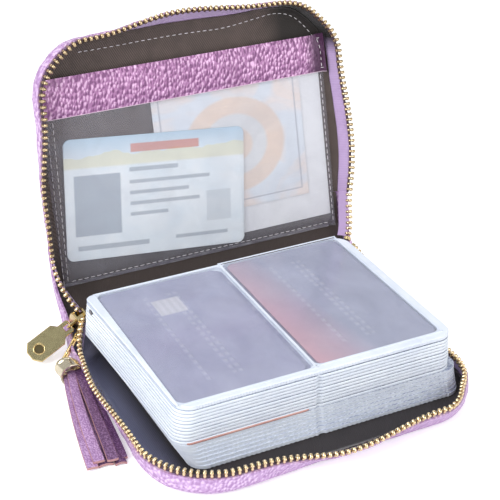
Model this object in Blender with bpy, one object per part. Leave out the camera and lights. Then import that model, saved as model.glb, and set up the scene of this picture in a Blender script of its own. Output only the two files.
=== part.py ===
"""Zip-round card wallet, lying open.

A leather cover in two halves joined by a spine, a zip round three sides, a book of clear card
sleeves on the base half and a clear pocket in the lid half. Metres, +Z up. The origin is the
middle of the base half's underside, and the spine is towards +Y.
"""

import math

import bmesh
import bpy
import numpy as np
from mathutils import Matrix, Vector

# Plastic cards, which the sleeves and so the cover are made round.
card_width = 0.05398
card_length = 0.0856
card_thickness = 0.00076
card_corner = 0.00318

# Cover: each half is a flat panel with a wall that bends up from its root on three sides.
side_room = 0.02604
depth_room = 0.0209
cover_width = 2 * card_width + side_room
cover_depth = card_length + depth_room
corner_radius = 0.023
bend_radius = 0.005
spine_width = 0.0352
lid_askew = 0.0045
base_wall_angles = (95, 54, 84, 40, 86, 72, 86)
lid_wall_angles = (72, 62, 96, 62, 78, 42, 78)
spine_wall_angle = 105
spine_elevation = 27.2
lid_turn = 49.1

# Layers, from the outside in. A depth is measured inwards from the leather's outer face.
leather_thickness = 0.001
board_thickness = 0.0005
lining_thickness = 0.0003
tape_thickness = 0.0004
layer_gap = 0.0002
tape_gap = 0.00025
crease_gap = 0.00015
leather_wall = 0.0117
lining_wall = 0.0088
tape_end = 0.0118
board_inset = 0.0015
spine_wall = 0.005

# Zip chain, measured along the wall from its root.
tooth_pitch = 0.00255
tooth_share = 0.62
tooth_start = 0.0121
tooth_end = 0.0146
tooth_top = 0.0001
tooth_bottom = 0.0027
cord_end = 0.0129
cord_top = 0.001
cord_bottom = 0.0018
stop_length = 0.0016
stop_proud = 0.0003
stop_half_depth = 0.0012
stop_half_width = 0.0016

# What lies in the lid pocket.
printed_card_thickness = 0.0006
note_width = 0.0735
note_height = 0.0645
note_thickness = 0.00015
paper_width = 0.059
paper_height = 0.072
paper_thickness = 0.0001

# Lid pocket, measured from the lid's edges and from its crease.
window_left = 0.0008 - cover_width / 2
window_right = cover_width / 2 + 0.0014
window_low = 0.0024
window_high = 0.0747
window_level = 0.004
window_thickness = 0.0002
hem_width = 0.0008
hem_inset = 0.0008
low_hem_width = 0.0004
band_right = cover_width / 2 + 0.0004
band_hem_right = 0.0085
band_depth = 0.0171
band_level = 0.004
band_thickness = 0.0007
pocket_gap = 0.00025
printed_card_corner = (0.0030 - cover_width / 2, 0.0117)
printed_card_tilt = -5.9
note_corner = (cover_width / 2 - 0.0098 - note_width, 0.0188)
paper_corner = (cover_width / 2 - 0.0007 - paper_width, 0.0066)

# Book of sleeves: leaves of two pockets side by side, each welded round its edge.
leaf_count = 18
leaf_thickness = 0.0012
top_leaf_thickness = 0.002
leaf_gap = 0.0003
leaf_corner = 0.007
slot_gap = 0.00032
thin_card_thickness = 0.0006
thin_slot_gap = 0.0001
column_gap = 0.0054
right_card_back = 0.001
leaf_left_margin = 0.0037
leaf_right_margin = 0.0059
leaf_front_margin = 0.004
leaf_back_margin = 0.0018
leaf_crease_gap = 0.0028
left_card_side = 0.0082
left_card_corner = (
    left_card_side - cover_width / 2,
    cover_depth / 2 - leaf_crease_gap - leaf_back_margin - card_length,
)
seam_width = 0.0022
seam_depth = 0.0003
lower_count = 7
middle_count = 5
lower_forward = 0.002
lower_right = 0.0022
binding_thickness = 0.0004

# Slider, pull tab and tassel.
slider_centre = (0.0034 - cover_width / 2, cover_depth / 2 + 0.00695, 0.0137)
hinge_direction = (0.379, -0.678, -0.628)
slider_length = 0.009
slider_width = 0.007
slider_tail = 0.005
slider_plate = 0.0008
slider_mouth = 0.0036
slider_flange = 0.0009
slider_post = 0.0014
bail_wire = 0.0005
bail_reach = 0.0036
bail_foot = 0.0021
pin_height = 0.002
tab_length = 0.0195
tab_width = 0.0095
tab_neck = 0.0058
tab_thickness = 0.0012
tab_droop = 9.6
tab_hole = 0.0019
tab_eye_half = 0.0011
tab_eye_start = 0.0007
tab_eye_end = 0.0035
ear_radius = 0.0017
ear_wire = 0.0004
ear_reach = 0.0036
ear_side = 0.0058
link_wire = 0.0004
link_overrun = 0.0003
link_half_width = 0.0017
tassel_top = (slider_centre[0] - 0.0136, slider_centre[1] - 0.0164, 0.0054)
tassel_heading = (-0.105, -0.992, -0.05)
cap_start = 0.0016
cap_radius = 0.0047
cap_length = 0.0085
cap_wall = 0.0006
loop_radius = 0.0016
loop_wire = 0.0004
loop_sink = 0.0003
strip_length = 0.064
strip_thickness = 0.0011
strip_root_width = 0.002
strip_tip_width = 0.0046


parts = bpy.data.collections.new("card_wallet")
guides = bpy.data.collections.new("guides")


def clear_scene():
    for item in list(bpy.data.objects):
        bpy.data.objects.remove(item, do_unlink=True)
    bpy.context.scene.collection.children.link(parts)
    bpy.context.scene.collection.children.link(guides)


def material(name, colour, roughness, metallic=0.0):
    """A plain finish, made once under each name."""
    found = bpy.data.materials.get(name)
    if found:
        return found
    made = bpy.data.materials.new(name)
    made.use_nodes = True
    shader = made.node_tree.nodes["Principled BSDF"]
    shader.inputs["Base Color"].default_value = (*colour, 1.0)
    shader.inputs["Roughness"].default_value = roughness
    shader.inputs["Metallic"].default_value = metallic
    made.diffuse_color = (*colour, 1.0)
    return made


def leather():
    return material("lilac_leather", (0.52, 0.27, 0.58), 0.4)


def lining_cloth():
    return material("brown_lining", (0.08, 0.055, 0.05), 0.8)


def gold():
    return material("pale_gold", (0.78, 0.62, 0.30), 0.25, 1.0)


def sleeve_film():
    return material("sleeve_film", (0.80, 0.84, 0.90), 0.3)


def empty(name, parent=None, matrix=None):
    """A guide that carries what turns or slides together."""
    item = bpy.data.objects.new(name, None)
    guides.objects.link(item)
    item.parent = parent
    if matrix is not None:
        item.matrix_local = matrix
    item.empty_display_size = 0.01
    return item


def place(name, bm, finish, parent):
    """An object of this mesh, in its parent's frame."""
    mesh = bpy.data.meshes.new(name)
    bm.to_mesh(mesh)
    bm.free()
    mesh.materials.append(finish)
    item = bpy.data.objects.new(name, mesh)
    parts.objects.link(item)
    item.parent = parent
    return item


def smooth(item, angle=40):
    item.data.shade_smooth()
    item.data.set_sharp_from_angle(angle=math.radians(angle))
    return item


def loft(rings):
    """A closed solid through rings of corners in the same order, capped at both ends."""
    bm = bmesh.new()
    rows = [[bm.verts.new(corner) for corner in ring] for ring in rings]
    count = len(rows[0])
    for low, high in zip(rows, rows[1:]):
        for i in range(count):
            j = (i + 1) % count
            bm.faces.new((low[i], low[j], high[j], high[i]))
    bm.faces.new(list(reversed(rows[0])))
    bm.faces.new(rows[-1])
    bmesh.ops.recalc_face_normals(bm, faces=bm.faces)
    return bm


def prism(outline, low, high):
    """A flat outline, given as (x, y) corners, drawn up from one height to another."""
    return loft([[(x, y, z) for x, y in outline] for z in (low, high)])


def box(low, high, corner=0.0, steps=3):
    """A box between two corners, with its upright edges rounded."""
    bm = bmesh.new()
    bmesh.ops.create_cube(bm, size=1.0)
    size = [b - a for a, b in zip(low, high)]
    middle = [(a + b) / 2 for a, b in zip(low, high)]
    bmesh.ops.scale(bm, vec=size, verts=bm.verts)
    bmesh.ops.translate(bm, vec=middle, verts=bm.verts)
    if corner:
        upright = [e for e in bm.edges if abs(e.verts[0].co.z - e.verts[1].co.z) > size[2] / 2]
        bmesh.ops.bevel(bm, geom=upright, offset=corner, segments=steps, profile=0.5, affect="EDGES")
    return bm


def baked(item, name=None):
    """The object's mesh with its modifiers applied, and the object itself removed."""
    bpy.context.view_layer.update()
    graph = bpy.context.evaluated_depsgraph_get()
    mesh = bpy.data.meshes.new_from_object(item.evaluated_get(graph))
    mesh.name = name or item.name
    bpy.data.objects.remove(item, do_unlink=True)
    return mesh


def cut_or_join(item, other, operation):
    """Cuts or joins with another object, which stays as a hidden guide."""
    step = item.modifiers.new(other.name, "BOOLEAN")
    step.operation = operation
    step.object = other
    step.solver = "EXACT"


def as_cutter(item):
    for holder in list(item.users_collection):
        holder.objects.unlink(item)
    guides.objects.link(item)
    item.hide_render = True
    item.display_type = "WIRE"
    return item


def wire(points, radius, closed=False):
    """A round wire along these points, as a closed mesh."""
    curve = bpy.data.curves.new("wire", "CURVE")
    curve.dimensions = "3D"
    curve.bevel_depth = radius
    curve.bevel_resolution = 1
    curve.use_fill_caps = not closed
    line = curve.splines.new("POLY")
    line.points.add(len(points) - 1)
    for knot, spot in zip(line.points, points):
        knot.co = (*spot, 1.0)
    line.use_cyclic_u = closed
    item = bpy.data.objects.new("wire", curve)
    guides.objects.link(item)
    mesh = baked(item)
    bm = bmesh.new()
    bm.from_mesh(mesh)
    bpy.data.meshes.remove(mesh)
    bmesh.ops.remove_doubles(bm, verts=bm.verts, dist=1e-6)
    bmesh.ops.recalc_face_normals(bm, faces=bm.faces)
    return bm


def wall_point(along, depth, angle):
    """How far out and up a point lies that is this far round the wall and this deep in it."""
    bend = min(along / bend_radius, angle)
    straight = max(along - bend_radius * angle, 0.0)
    radius = bend_radius - depth
    out = radius * math.sin(bend) + straight * math.cos(angle)
    up = bend_radius - radius * math.cos(bend) + straight * math.sin(angle)
    return out, up


class Outline:
    """The root line of a cover half: up one side, round the front and down the other side."""

    def __init__(self, away, angles):
        self.away = away
        self.side = cover_depth - corner_radius
        self.turn = corner_radius * math.pi / 2
        self.front = cover_width - 2 * corner_radius
        self.length = 2 * self.side + 2 * self.turn + self.front
        half = self.length / 2
        first = (0.0, self.side / 2, self.side + self.turn / 2, half)
        self.marks = first + tuple(self.length - mark for mark in reversed(first[:3]))
        self.angles = [math.radians(angle) for angle in angles]

    def angle(self, t):
        """The wall's angle, eased between the stated ones."""
        for (a, b), (low, high) in zip(
            zip(self.marks, self.marks[1:]), zip(self.angles, self.angles[1:])
        ):
            if t <= b:
                share = (1 - math.cos(math.pi * (t - a) / (b - a))) / 2
                return low + (high - low) * share
        return self.angles[-1]

    def root(self, t):
        """The root's place, as x and the distance from the crease, and its outward direction."""
        mirrored = t > self.length / 2
        if mirrored:
            t = self.length - t
        if t <= self.side:
            place_, out = (-cover_width / 2, t), (-1.0, 0.0)
        elif t <= self.side + self.turn:
            a = (t - self.side) / corner_radius
            x = -cover_width / 2 + corner_radius * (1 - math.cos(a))
            place_, out = (x, self.side + corner_radius * math.sin(a)), (-math.cos(a), math.sin(a))
        else:
            x = -self.front / 2 + (t - self.side - self.turn)
            place_, out = (x, cover_depth), (0.0, 1.0)
        side = -1.0 if mirrored else 1.0
        return (side * place_[0], place_[1]), (side * out[0], out[1])

    def point(self, t, along, depth):
        """A point of the wall, mitred at the crease so that the halves fold without meeting."""
        (x, v), (out_x, out_v) = self.root(t)
        out, up = wall_point(along, depth, self.angle(t))
        v = max(v + out_v * out, up + crease_gap)
        return Vector((x + out_x * out, self.away * v, up))

    def stations(self):
        """Places along the root, closer together where the wall bends."""
        side = [0.0, 0.014] + [self.side * share for share in (0.38, 0.6, 0.8)]
        turn = [self.side + self.turn * i / 6 for i in range(7)]
        front = [self.side + self.turn + self.front * i / 6 for i in (1, 2)]
        half = side + turn + front
        return half + [self.length / 2] + [self.length - t for t in reversed(half)]


def skin(outline, outer, inner, wall, has_panel=True):
    """One layer of a cover half between two depths: its panel and its wall in one piece.

    Without a panel it is a ribbon, which starts part way up the bend.
    """
    bm = bmesh.new()
    skins = []
    for depth in (outer, inner):
        rows = []
        for t in outline.stations():
            bend = bend_radius * outline.angle(t)
            steps = [bend * i / 3 for i in range(0 if has_panel else 2, 4)] + [lining_wall]
            steps += [wall] if wall > lining_wall else []
            rows.append([bm.verts.new(outline.point(t, step, depth)) for step in steps])
        skins.append(rows)
    outside, inside = skins
    last = len(outside[0]) - 1
    for rows in skins:
        for low, high in zip(rows, rows[1:]):
            for i in range(last):
                bm.faces.new((low[i], low[i + 1], high[i + 1]))
                bm.faces.new((low[i], high[i + 1], high[i]))
        if has_panel:
            bm.faces.new([row[0] for row in rows])
    edges = (last,) if has_panel else (last, 0)
    for column in edges:
        for low, high, far_low, far_high in zip(outside, outside[1:], inside, inside[1:]):
            bm.faces.new((low[column], high[column], far_high[column], far_low[column]))
    for end in (0, -1):
        for i in range(last):
            near, far = outside[end], inside[end]
            bm.faces.new((near[i], near[i + 1], far[i + 1], far[i]))
    if has_panel:
        bm.faces.new((outside[0][0], outside[-1][0], inside[-1][0], inside[0][0]))
    bmesh.ops.recalc_face_normals(bm, faces=bm.faces)
    return bm


def board(outline, outer, inner):
    """A flat stiffener inside the panel's outline."""
    rings = []
    for depth in (outer, inner):
        ring = []
        for t in outline.stations():
            (x, v), (out_x, out_v) = outline.root(t)
            v = max(v - out_v * board_inset, inner + crease_gap)
            ring.append((x - out_x * board_inset, outline.away * v, depth))
        rings.append(ring)
    return loft(rings)


tooth_section = (
    (tooth_start, tooth_top),
    (tooth_end, tooth_top),
    (tooth_end, tooth_bottom),
    (tooth_start, tooth_bottom),
)
neck_section = (
    (tooth_start, cord_top),
    (cord_end, cord_top),
    (cord_end, cord_bottom),
    (tooth_start, cord_bottom),
)
chain_along = (tooth_start + tooth_end) / 2
chain_depth = (tooth_top + tooth_bottom) / 2


def chain(section_at, length):
    """A row of teeth on one cord: each tooth is a block, drawn in to the cord between teeth."""
    count = max(int(length / tooth_pitch), 1)
    pitch = length / count
    rings = []
    for i in range(count):
        middle = (i + 0.5) * pitch
        for end in (-0.5, 0.5):
            rings.append(section_at(middle + end * tooth_share * pitch, tooth_section))
        if i < count - 1:
            rings.append(section_at((i + 1) * pitch, neck_section))
    return loft(rings)


def rim_reach(outline, end):
    """Where along the root the chain begins or ends, clear of the mitre at the crease."""
    angle = outline.angle(0.0 if end == 0 else outline.length)
    up = wall_point(tooth_end, tooth_top, angle)[1]
    start = up + crease_gap + stop_length
    return start if end == 0 else outline.length - start


def rim_chain(outline):
    """The chain along a cover half's rim, evenly pitched along its own length."""
    spots = np.linspace(rim_reach(outline, 0), rim_reach(outline, 1), 600)
    line = np.array([outline.point(t, chain_along, chain_depth) for t in spots])
    run = np.concatenate([[0.0], np.cumsum(np.linalg.norm(np.diff(line, axis=0), axis=1))])

    def section_at(distance, section):
        t = float(np.interp(distance, run, spots))
        return [outline.point(t, *corner) for corner in section]

    return chain(section_at, float(run[-1]))


def spine_layer(outer, inner, wall):
    """One layer of the spine: its panel and a low wall at each side, mitred at both creases."""
    angle = math.radians(spine_wall_angle)
    bend = min(bend_radius * angle, wall)
    steps = [bend * i / 3 for i in range(4)]
    rings = []
    for far in (False, True):
        ring = []
        for depth, order in ((outer, 1), (inner, -1)):
            side = [wall_point(step, depth, angle) for step in steps]
            left = [(-cover_width / 2 - out, up) for out, up in reversed(side)]
            right = [(cover_width / 2 + out, up) for out, up in side]
            ring += (left + right)[::order]
        placed = []
        for x, up in ring:
            y = spine_width - up - crease_gap if far else up + crease_gap
            placed.append((x + lid_askew * y / spine_width, y, up))
        rings.append(placed)
    return loft(rings)


class Frames:
    """The guides that carry each half, and the axes that they turn about."""

    def __init__(self):
        crease = Matrix.Translation((0, cover_depth / 2, 0))
        self.base = empty("base_frame", matrix=crease)
        turned = Matrix.Rotation(math.radians(spine_elevation), 4, "X")
        self.spine = empty("spine_fold", matrix=crease @ turned)
        fold = Matrix.Translation((lid_askew, spine_width, 0))
        turned = Matrix.Rotation(math.radians(lid_turn), 4, "X")
        self.lid = empty("lid_fold", self.spine, fold @ turned)
        bpy.context.view_layer.update()


def covers(frames, base_outline, lid_outline):
    """Leather, board, lining and zip of both halves, and the spine between them."""
    board_outer = leather_thickness + layer_gap
    board_inner = board_outer + board_thickness
    lining_outer = board_inner + layer_gap
    lining_inner = lining_outer + lining_thickness
    tape_outer = leather_thickness + tape_gap
    halves = (
        ("back", "lower", frames.base, base_outline),
        ("front", "upper", frames.lid, lid_outline),
    )
    card = material("stiffener", (0.45, 0.36, 0.26), 0.9)
    for half, row, frame, outline in halves:
        cover = skin(outline, 0.0, leather_thickness, leather_wall)
        smooth(place(half + "_cover", cover, leather(), frame))
        place(half + "_board", board(outline, board_outer, board_inner), card, frame)
        lining = skin(outline, lining_outer, lining_inner, lining_wall)
        smooth(place(half + "_lining", lining, lining_cloth(), frame))
        ribbon = skin(outline, tape_outer, tape_outer + tape_thickness, tape_end, has_panel=False)
        smooth(place(row + "_zip_tape", ribbon, material("zip_tape", (0.5, 0.3, 0.55), 0.8), frame))
        place(row + "_zip_teeth", rim_chain(outline), gold(), frame)
    spine = spine_layer(0.0, leather_thickness, spine_wall)
    smooth(place("spine_cover", spine, leather(), frames.spine))
    low = leather_thickness + layer_gap
    spine = spine_layer(low, low + lining_thickness, spine_wall)
    smooth(place("spine_lining", spine, lining_cloth(), frames.spine))


def slider_axes():
    """The slider's out, hinge and travel directions."""
    hinge = Vector(hinge_direction).normalized()
    out = Vector((-1, 0, 0))
    out = (out - hinge * out.dot(hinge)).normalized()
    travel = out.cross(hinge)
    return out, hinge, travel


def slider_matrix():
    out, hinge, travel = slider_axes()
    turned = Matrix((out, hinge, travel)).transposed().to_4x4()
    return Matrix.Translation(slider_centre) @ turned


def slider(frames):
    """Two plates joined by a post, with flanges that hold the chain, a bail and an eyelet."""
    half, tail, reach = slider_width / 2, slider_tail / 2, slider_length / 2
    chamfer = slider_width / 5
    shield = [(-tail, -reach), (tail, -reach), (half, reach * 0.3), (half, reach - chamfer)]
    shield += [(half - chamfer, reach), (-half + chamfer, reach), (-half, reach - chamfer)]
    shield += [(-half, reach * 0.3)]
    inner = slider_mouth / 2
    outer = inner + slider_plate
    solids = []
    for low, high in ((inner, outer), (-outer, -inner)):
        solids.append(loft([[(x, y, z) for y, z in shield] for x in (low, high)]))
    nose = reach - chamfer
    post = [(-slider_post / 2, nose), (slider_post / 2, nose), (0, -reach * 0.2)]
    solids.append(loft([[(x, y, z) for y, z in post] for x in (-outer + 1e-4, outer - 1e-4)]))
    for side in (-1, 1):
        edge = [(side * tail, -reach), (side * half, reach * 0.3), (side * half, nose)]
        inside = [(y - side * slider_plate, z) for y, z in edge]
        for low, high in ((inner - slider_flange, outer - 1e-4), (1e-4 - outer, slider_flange - inner)):
            lip = [(y - side * 1e-4, z) for y, z in edge] + inside[::-1]
            solids.append(loft([[(x, y, z) for y, z in lip] for x in (low, high)]))
    foot = outer - bail_wire
    arch = [(foot, 0, -bail_foot)]
    for i in range(9):
        a = math.pi * i / 8
        arch.append((outer + (bail_reach - 0.0012) + 0.0012 * math.sin(a), 0, -bail_foot * math.cos(a)))
    arch.append((foot, 0, bail_foot))
    solids.append(wire(arch, bail_wire))
    solids.extend(slider_ear())
    frame = empty("slider_frame", frames.spine)
    frame.matrix_world = slider_matrix()
    body = place("slider_body", solids[0], gold(), frame)
    for number, solid in enumerate(solids[1:], 1):
        piece = as_cutter(place(f"slider_piece_{number}", solid, gold(), frame))
        cut_or_join(body, piece, "UNION")
    back = -slider_length / 2 - stop_proud
    low = (-stop_half_depth, -stop_half_width, back - stop_length)
    high = (stop_half_depth, stop_half_width, back)
    place("bottom_stop", box(low, high), gold(), frame)
    return frame


def pull_tab(slider_frame):
    """A flat tab with an eye round the bail's pin line and a round hole near its tip."""
    out, hinge, travel = slider_axes()
    outer = slider_mouth / 2 + slider_plate
    pivot = Vector(slider_centre) + out * (outer + pin_height)
    droop = Matrix.Rotation(math.radians(tab_droop), 4, hinge)
    along = droop @ out
    face = along.cross(hinge)
    turned = Matrix((along, hinge, face)).transposed().to_4x4()
    frame = empty("tab_pivot", slider_frame)
    frame.matrix_world = Matrix.Translation(pivot) @ turned
    bpy.context.view_layer.update()
    half, neck, tip = tab_width / 2, tab_neck / 2, tab_width / 4
    shoulder = tab_eye_end + 0.0006
    shape = [(-tab_eye_start, -neck), (shoulder, -neck), (shoulder + 0.002, -half)]
    shape += [(tab_length - tip, -half), (tab_length, -half + tip)]
    shape += [(x, -y) for x, y in reversed(shape)]
    low, high = -tab_thickness / 2, tab_thickness / 2
    tab = place("pull_tab", prism(shape, low, high), gold(), frame)
    eye = box((tab_eye_start, -tab_eye_half, 2 * low), (tab_eye_end, tab_eye_half, 2 * high))
    cut_or_join(tab, as_cutter(place("tab_eye", eye, gold(), frame)), "DIFFERENCE")
    bm = bmesh.new()
    bmesh.ops.create_cone(
        bm, cap_ends=True, segments=20, radius1=tab_hole, radius2=tab_hole, depth=4 * tab_thickness
    )
    bmesh.ops.translate(bm, vec=(tab_length - half, 0, 0), verts=bm.verts)
    cut_or_join(tab, as_cutter(place("tab_hole", bm, gold(), frame)), "DIFFERENCE")


def ear_centre():
    """The middle of the slider's ear, in the slider's frame."""
    return Vector((slider_mouth / 2 + slider_plate + ear_reach, ear_side, 0))


def link_line():
    """Where the link hangs on the slider's ear, its length, and its long and flat directions."""
    start = slider_matrix() @ ear_centre()
    run = Vector(tassel_top) - start
    along = run.normalized()
    out = slider_axes()[0]
    face = (out - along * out.dot(along)).normalized()
    return start, run.length, along, face


def slider_ear():
    """A wire ring at the slider's edge, square to the link that hangs on it, and its arm."""
    start, length, along, face = link_line()
    local = slider_matrix().to_3x3().inverted()
    first = local @ along
    second = local @ face.cross(along)
    centre = ear_centre()
    spots = []
    for i in range(12):
        a = 2 * math.pi * i / 12
        spots.append(centre + (first * math.cos(a) + second * math.sin(a)) * ear_radius)
    root = Vector((slider_mouth / 2 + slider_plate - ear_wire, slider_width / 2 - slider_plate, 0))
    nearest = min(spots, key=lambda spot: (spot - root).length)
    return wire(spots, ear_wire, closed=True), wire([root, nearest], ear_wire)


def zip_ends(frames, base_outline, lid_outline):
    """The short flexible stretches of chain that cross the creases, and the stops."""
    out, hinge, travel = slider_axes()
    into_spine = frames.spine.matrix_world.inverted()
    mouth = Vector(slider_centre) + travel * (slider_length / 2 + 0.001)
    meet_left = (mouth + hinge * 0.0016, mouth - hinge * 0.0016)
    middle = spine_width / 2
    right = cover_width / 2 + lid_askew / 2 + 0.0035
    meet_right = tuple(
        frames.spine.matrix_world @ Vector((right, middle + shift, 0.0098))
        for shift in (-0.0034, 0.0034)
    )
    rows = (
        ("lower_zip_end_left", frames.base, base_outline, 0, meet_left[0]),
        ("upper_zip_end_left", frames.lid, lid_outline, 0, meet_left[1]),
        ("lower_zip_end_right", frames.base, base_outline, 1, meet_right[0]),
        ("upper_zip_end_right", frames.lid, lid_outline, 1, meet_right[1]),
    )
    stops = {"lower_zip_end_right": "top_stop_lower", "upper_zip_end_right": "top_stop_upper"}
    for name, frame, outline, end, meet in rows:
        t = rim_reach(outline, end)
        world = frame.matrix_world
        near = [world @ outline.point(t, *corner) for corner in tooth_section]
        middle_of = sum(near, Vector()) / 4
        across = (near[1] - near[0]).normalized()
        deep = (near[3] - near[0]).normalized()
        inward = 0.002 if end == 0 else -0.002
        further = [world @ outline.point(t + inward, *corner) for corner in tooth_section]
        heading = (middle_of - sum(further, Vector()) / 4).normalized()
        start = middle_of + heading * 0.0004
        span = (meet - start).length
        side = Vector((1 if end == 0 else -1, 0, 0)) * 0.3
        arrive = ((meet - start).normalized() + side).normalized()

        def spot(share, start=start, meet=meet, heading=heading, arrive=arrive, span=span):
            a, b = start + heading * span * 0.35, meet - arrive * span * 0.3
            rest = 1 - share
            return start * rest**3 + 3 * a * share * rest**2 + 3 * b * share**2 * rest + meet * share**3

        def section_at(distance, section, spot=spot, span=span, across=across, deep=deep):
            share = min(max(distance / span, 0.0), 1.0)
            ahead = (spot(min(share + 0.01, 1)) - spot(max(share - 0.01, 0))).normalized()
            reach = (across - ahead * across.dot(ahead)).normalized()
            down = ahead.cross(reach)
            if down.dot(deep) < 0:
                down = -down
            middle_ = spot(share)
            corners = []
            for along_, depth in section:
                shift = reach * (along_ - chain_along) * 0.8 + down * (depth - chain_depth) * 0.8
                corners.append(into_spine @ (middle_ + shift))
            return corners

        place(name, chain(section_at, span), gold(), frames.spine)
        if name in stops:
            grown = []
            for along_, depth in tooth_section:
                a = chain_along + (along_ - chain_along) * 1.15
                d = chain_depth + (depth - chain_depth) * 1.15
                grown.append((a, d))
            ends = (span + stop_proud, span + stop_proud + stop_length)
            rings = []
            for distance in ends:
                past = into_spine.to_3x3() @ (arrive * (distance - span))
                rings.append([corner + past for corner in section_at(span, grown)])
            place(stops[name], loft(rings), gold(), frames.spine)


def tassel(slider_frame):
    """A link from the slider's ear, a domed cap and five leather strips fanned on the table."""
    start, length, along, face = link_line()
    ring_frame = empty("ring_pivot", slider_frame)
    ring_frame.matrix_world = Matrix.Translation(start)
    bpy.context.view_layer.update()
    half = length / 2
    straight = half + link_overrun - link_half_width
    hoop = []
    for i in range(16):
        a = 2 * math.pi * i / 16
        end = straight if math.cos(a) > 1e-6 else -straight if math.cos(a) < -1e-6 else 0
        reach = along * (half + end + link_half_width * math.cos(a))
        hoop.append(reach + face * link_half_width * math.sin(a))
    link = wire(hoop, link_wire, closed=True)
    link.transform(ring_frame.matrix_world.to_3x3().inverted().to_4x4())
    smooth(place("tassel_ring", link, gold(), ring_frame))
    frame = empty("tassel_pivot", ring_frame)
    heading = Vector(tassel_heading).normalized()
    flat = Vector((0, 0, 1)).cross(heading).normalized()
    turned = Matrix((flat, heading.cross(flat), heading)).transposed().to_4x4()
    frame.matrix_world = Matrix.Translation(tassel_top) @ turned
    bpy.context.view_layer.update()
    cap(frame, face)
    strips(frame)


def cap(frame, face):
    """A turned cup with a domed end and a loop, open towards the strips."""
    dome = cap_radius * 0.55
    start = cap_start
    profile = [(cap_radius, start + cap_length), (cap_radius, start + dome)]
    for i in range(1, 5):
        a = math.pi / 2 * i / 4
        profile.append((max(cap_radius * math.cos(a), 0.0), start + dome * (1 - math.sin(a))))
    within = cap_radius - cap_wall
    inside = [(0.0, start + dome), (within, start + dome), (within, start + cap_length)]
    bm = bmesh.new()
    verts = [bm.verts.new((x, 0, z)) for x, z in profile + inside]
    edges = [bm.edges.new(pair) for pair in zip(verts, verts[1:])]
    edges.append(bm.edges.new((verts[-1], verts[0])))
    bmesh.ops.spin(
        bm, geom=verts + edges, cent=(0, 0, 0), axis=(0, 0, 1), angle=2 * math.pi, steps=20, use_merge=True
    )
    bmesh.ops.remove_doubles(bm, verts=bm.verts, dist=1e-6)
    wrong = [edge for edge in bm.edges if not edge.link_faces]
    bmesh.ops.delete(bm, geom=wrong, context="EDGES")
    bmesh.ops.recalc_face_normals(bm, faces=bm.faces)
    body = smooth(place("tassel_cap", bm, gold(), frame))
    across = Vector((0, 0, 1)).cross(frame.matrix_world.to_3x3().inverted() @ face).normalized()
    middle = Vector((0, 0, start + loop_sink - loop_radius))
    spots = []
    for i in range(12):
        a = 2 * math.pi * i / 12
        spots.append(middle + (across * math.sin(a) + Vector((0, 0, math.cos(a)))) * loop_radius)
    hoop = as_cutter(place("cap_loop", wire(spots, loop_wire, closed=True), gold(), frame))
    cut_or_join(body, hoop, "UNION")


def strips(frame):
    """Five flat strips: three on the table and two on top of them, spread towards their tips."""
    start = cap_start + cap_length - 0.0015
    floor = strip_thickness / 2 + 0.0004
    world = frame.matrix_world
    down = world.to_3x3().inverted() @ Vector((0, 0, 1))
    tip_height = floor - (world @ Vector((0, 0, start + strip_length))).z
    layout = (
        (-0.0024, -0.0066, 0.0, -0.0011),
        (0.0, -0.0012, 0.0, -0.0011),
        (0.0024, 0.0042, 0.0, -0.0011),
        (-0.0014, -0.0038, 0.0014, 0.0003),
        (0.0014, 0.0014, 0.0014, 0.0003),
    )
    for number, (root, tip, lift, root_lift) in enumerate(layout, 1):
        rings = []
        for i in range(9):
            share = i / 8
            ease = share * share * (3 - 2 * share)
            x = root + (tip - root) * share
            height = root_lift + (tip_height + lift - root_lift) * ease
            middle = Vector((x, 0, start + strip_length * share * (1 if number != 4 else 0.97)))
            middle += down * height
            half = (strip_root_width + (strip_tip_width - strip_root_width) * share) / 2
            thick = down * strip_thickness / 2
            corners = [Vector((-half, 0, 0)), Vector((half, 0, 0))]
            ring = [middle + corners[0] - thick, middle + corners[1] - thick]
            ring += [middle + corners[1] + thick, middle + corners[0] + thick]
            rings.append(ring)
        place(f"tassel_strip_{number}", loft(rings), leather(), frame)


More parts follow.
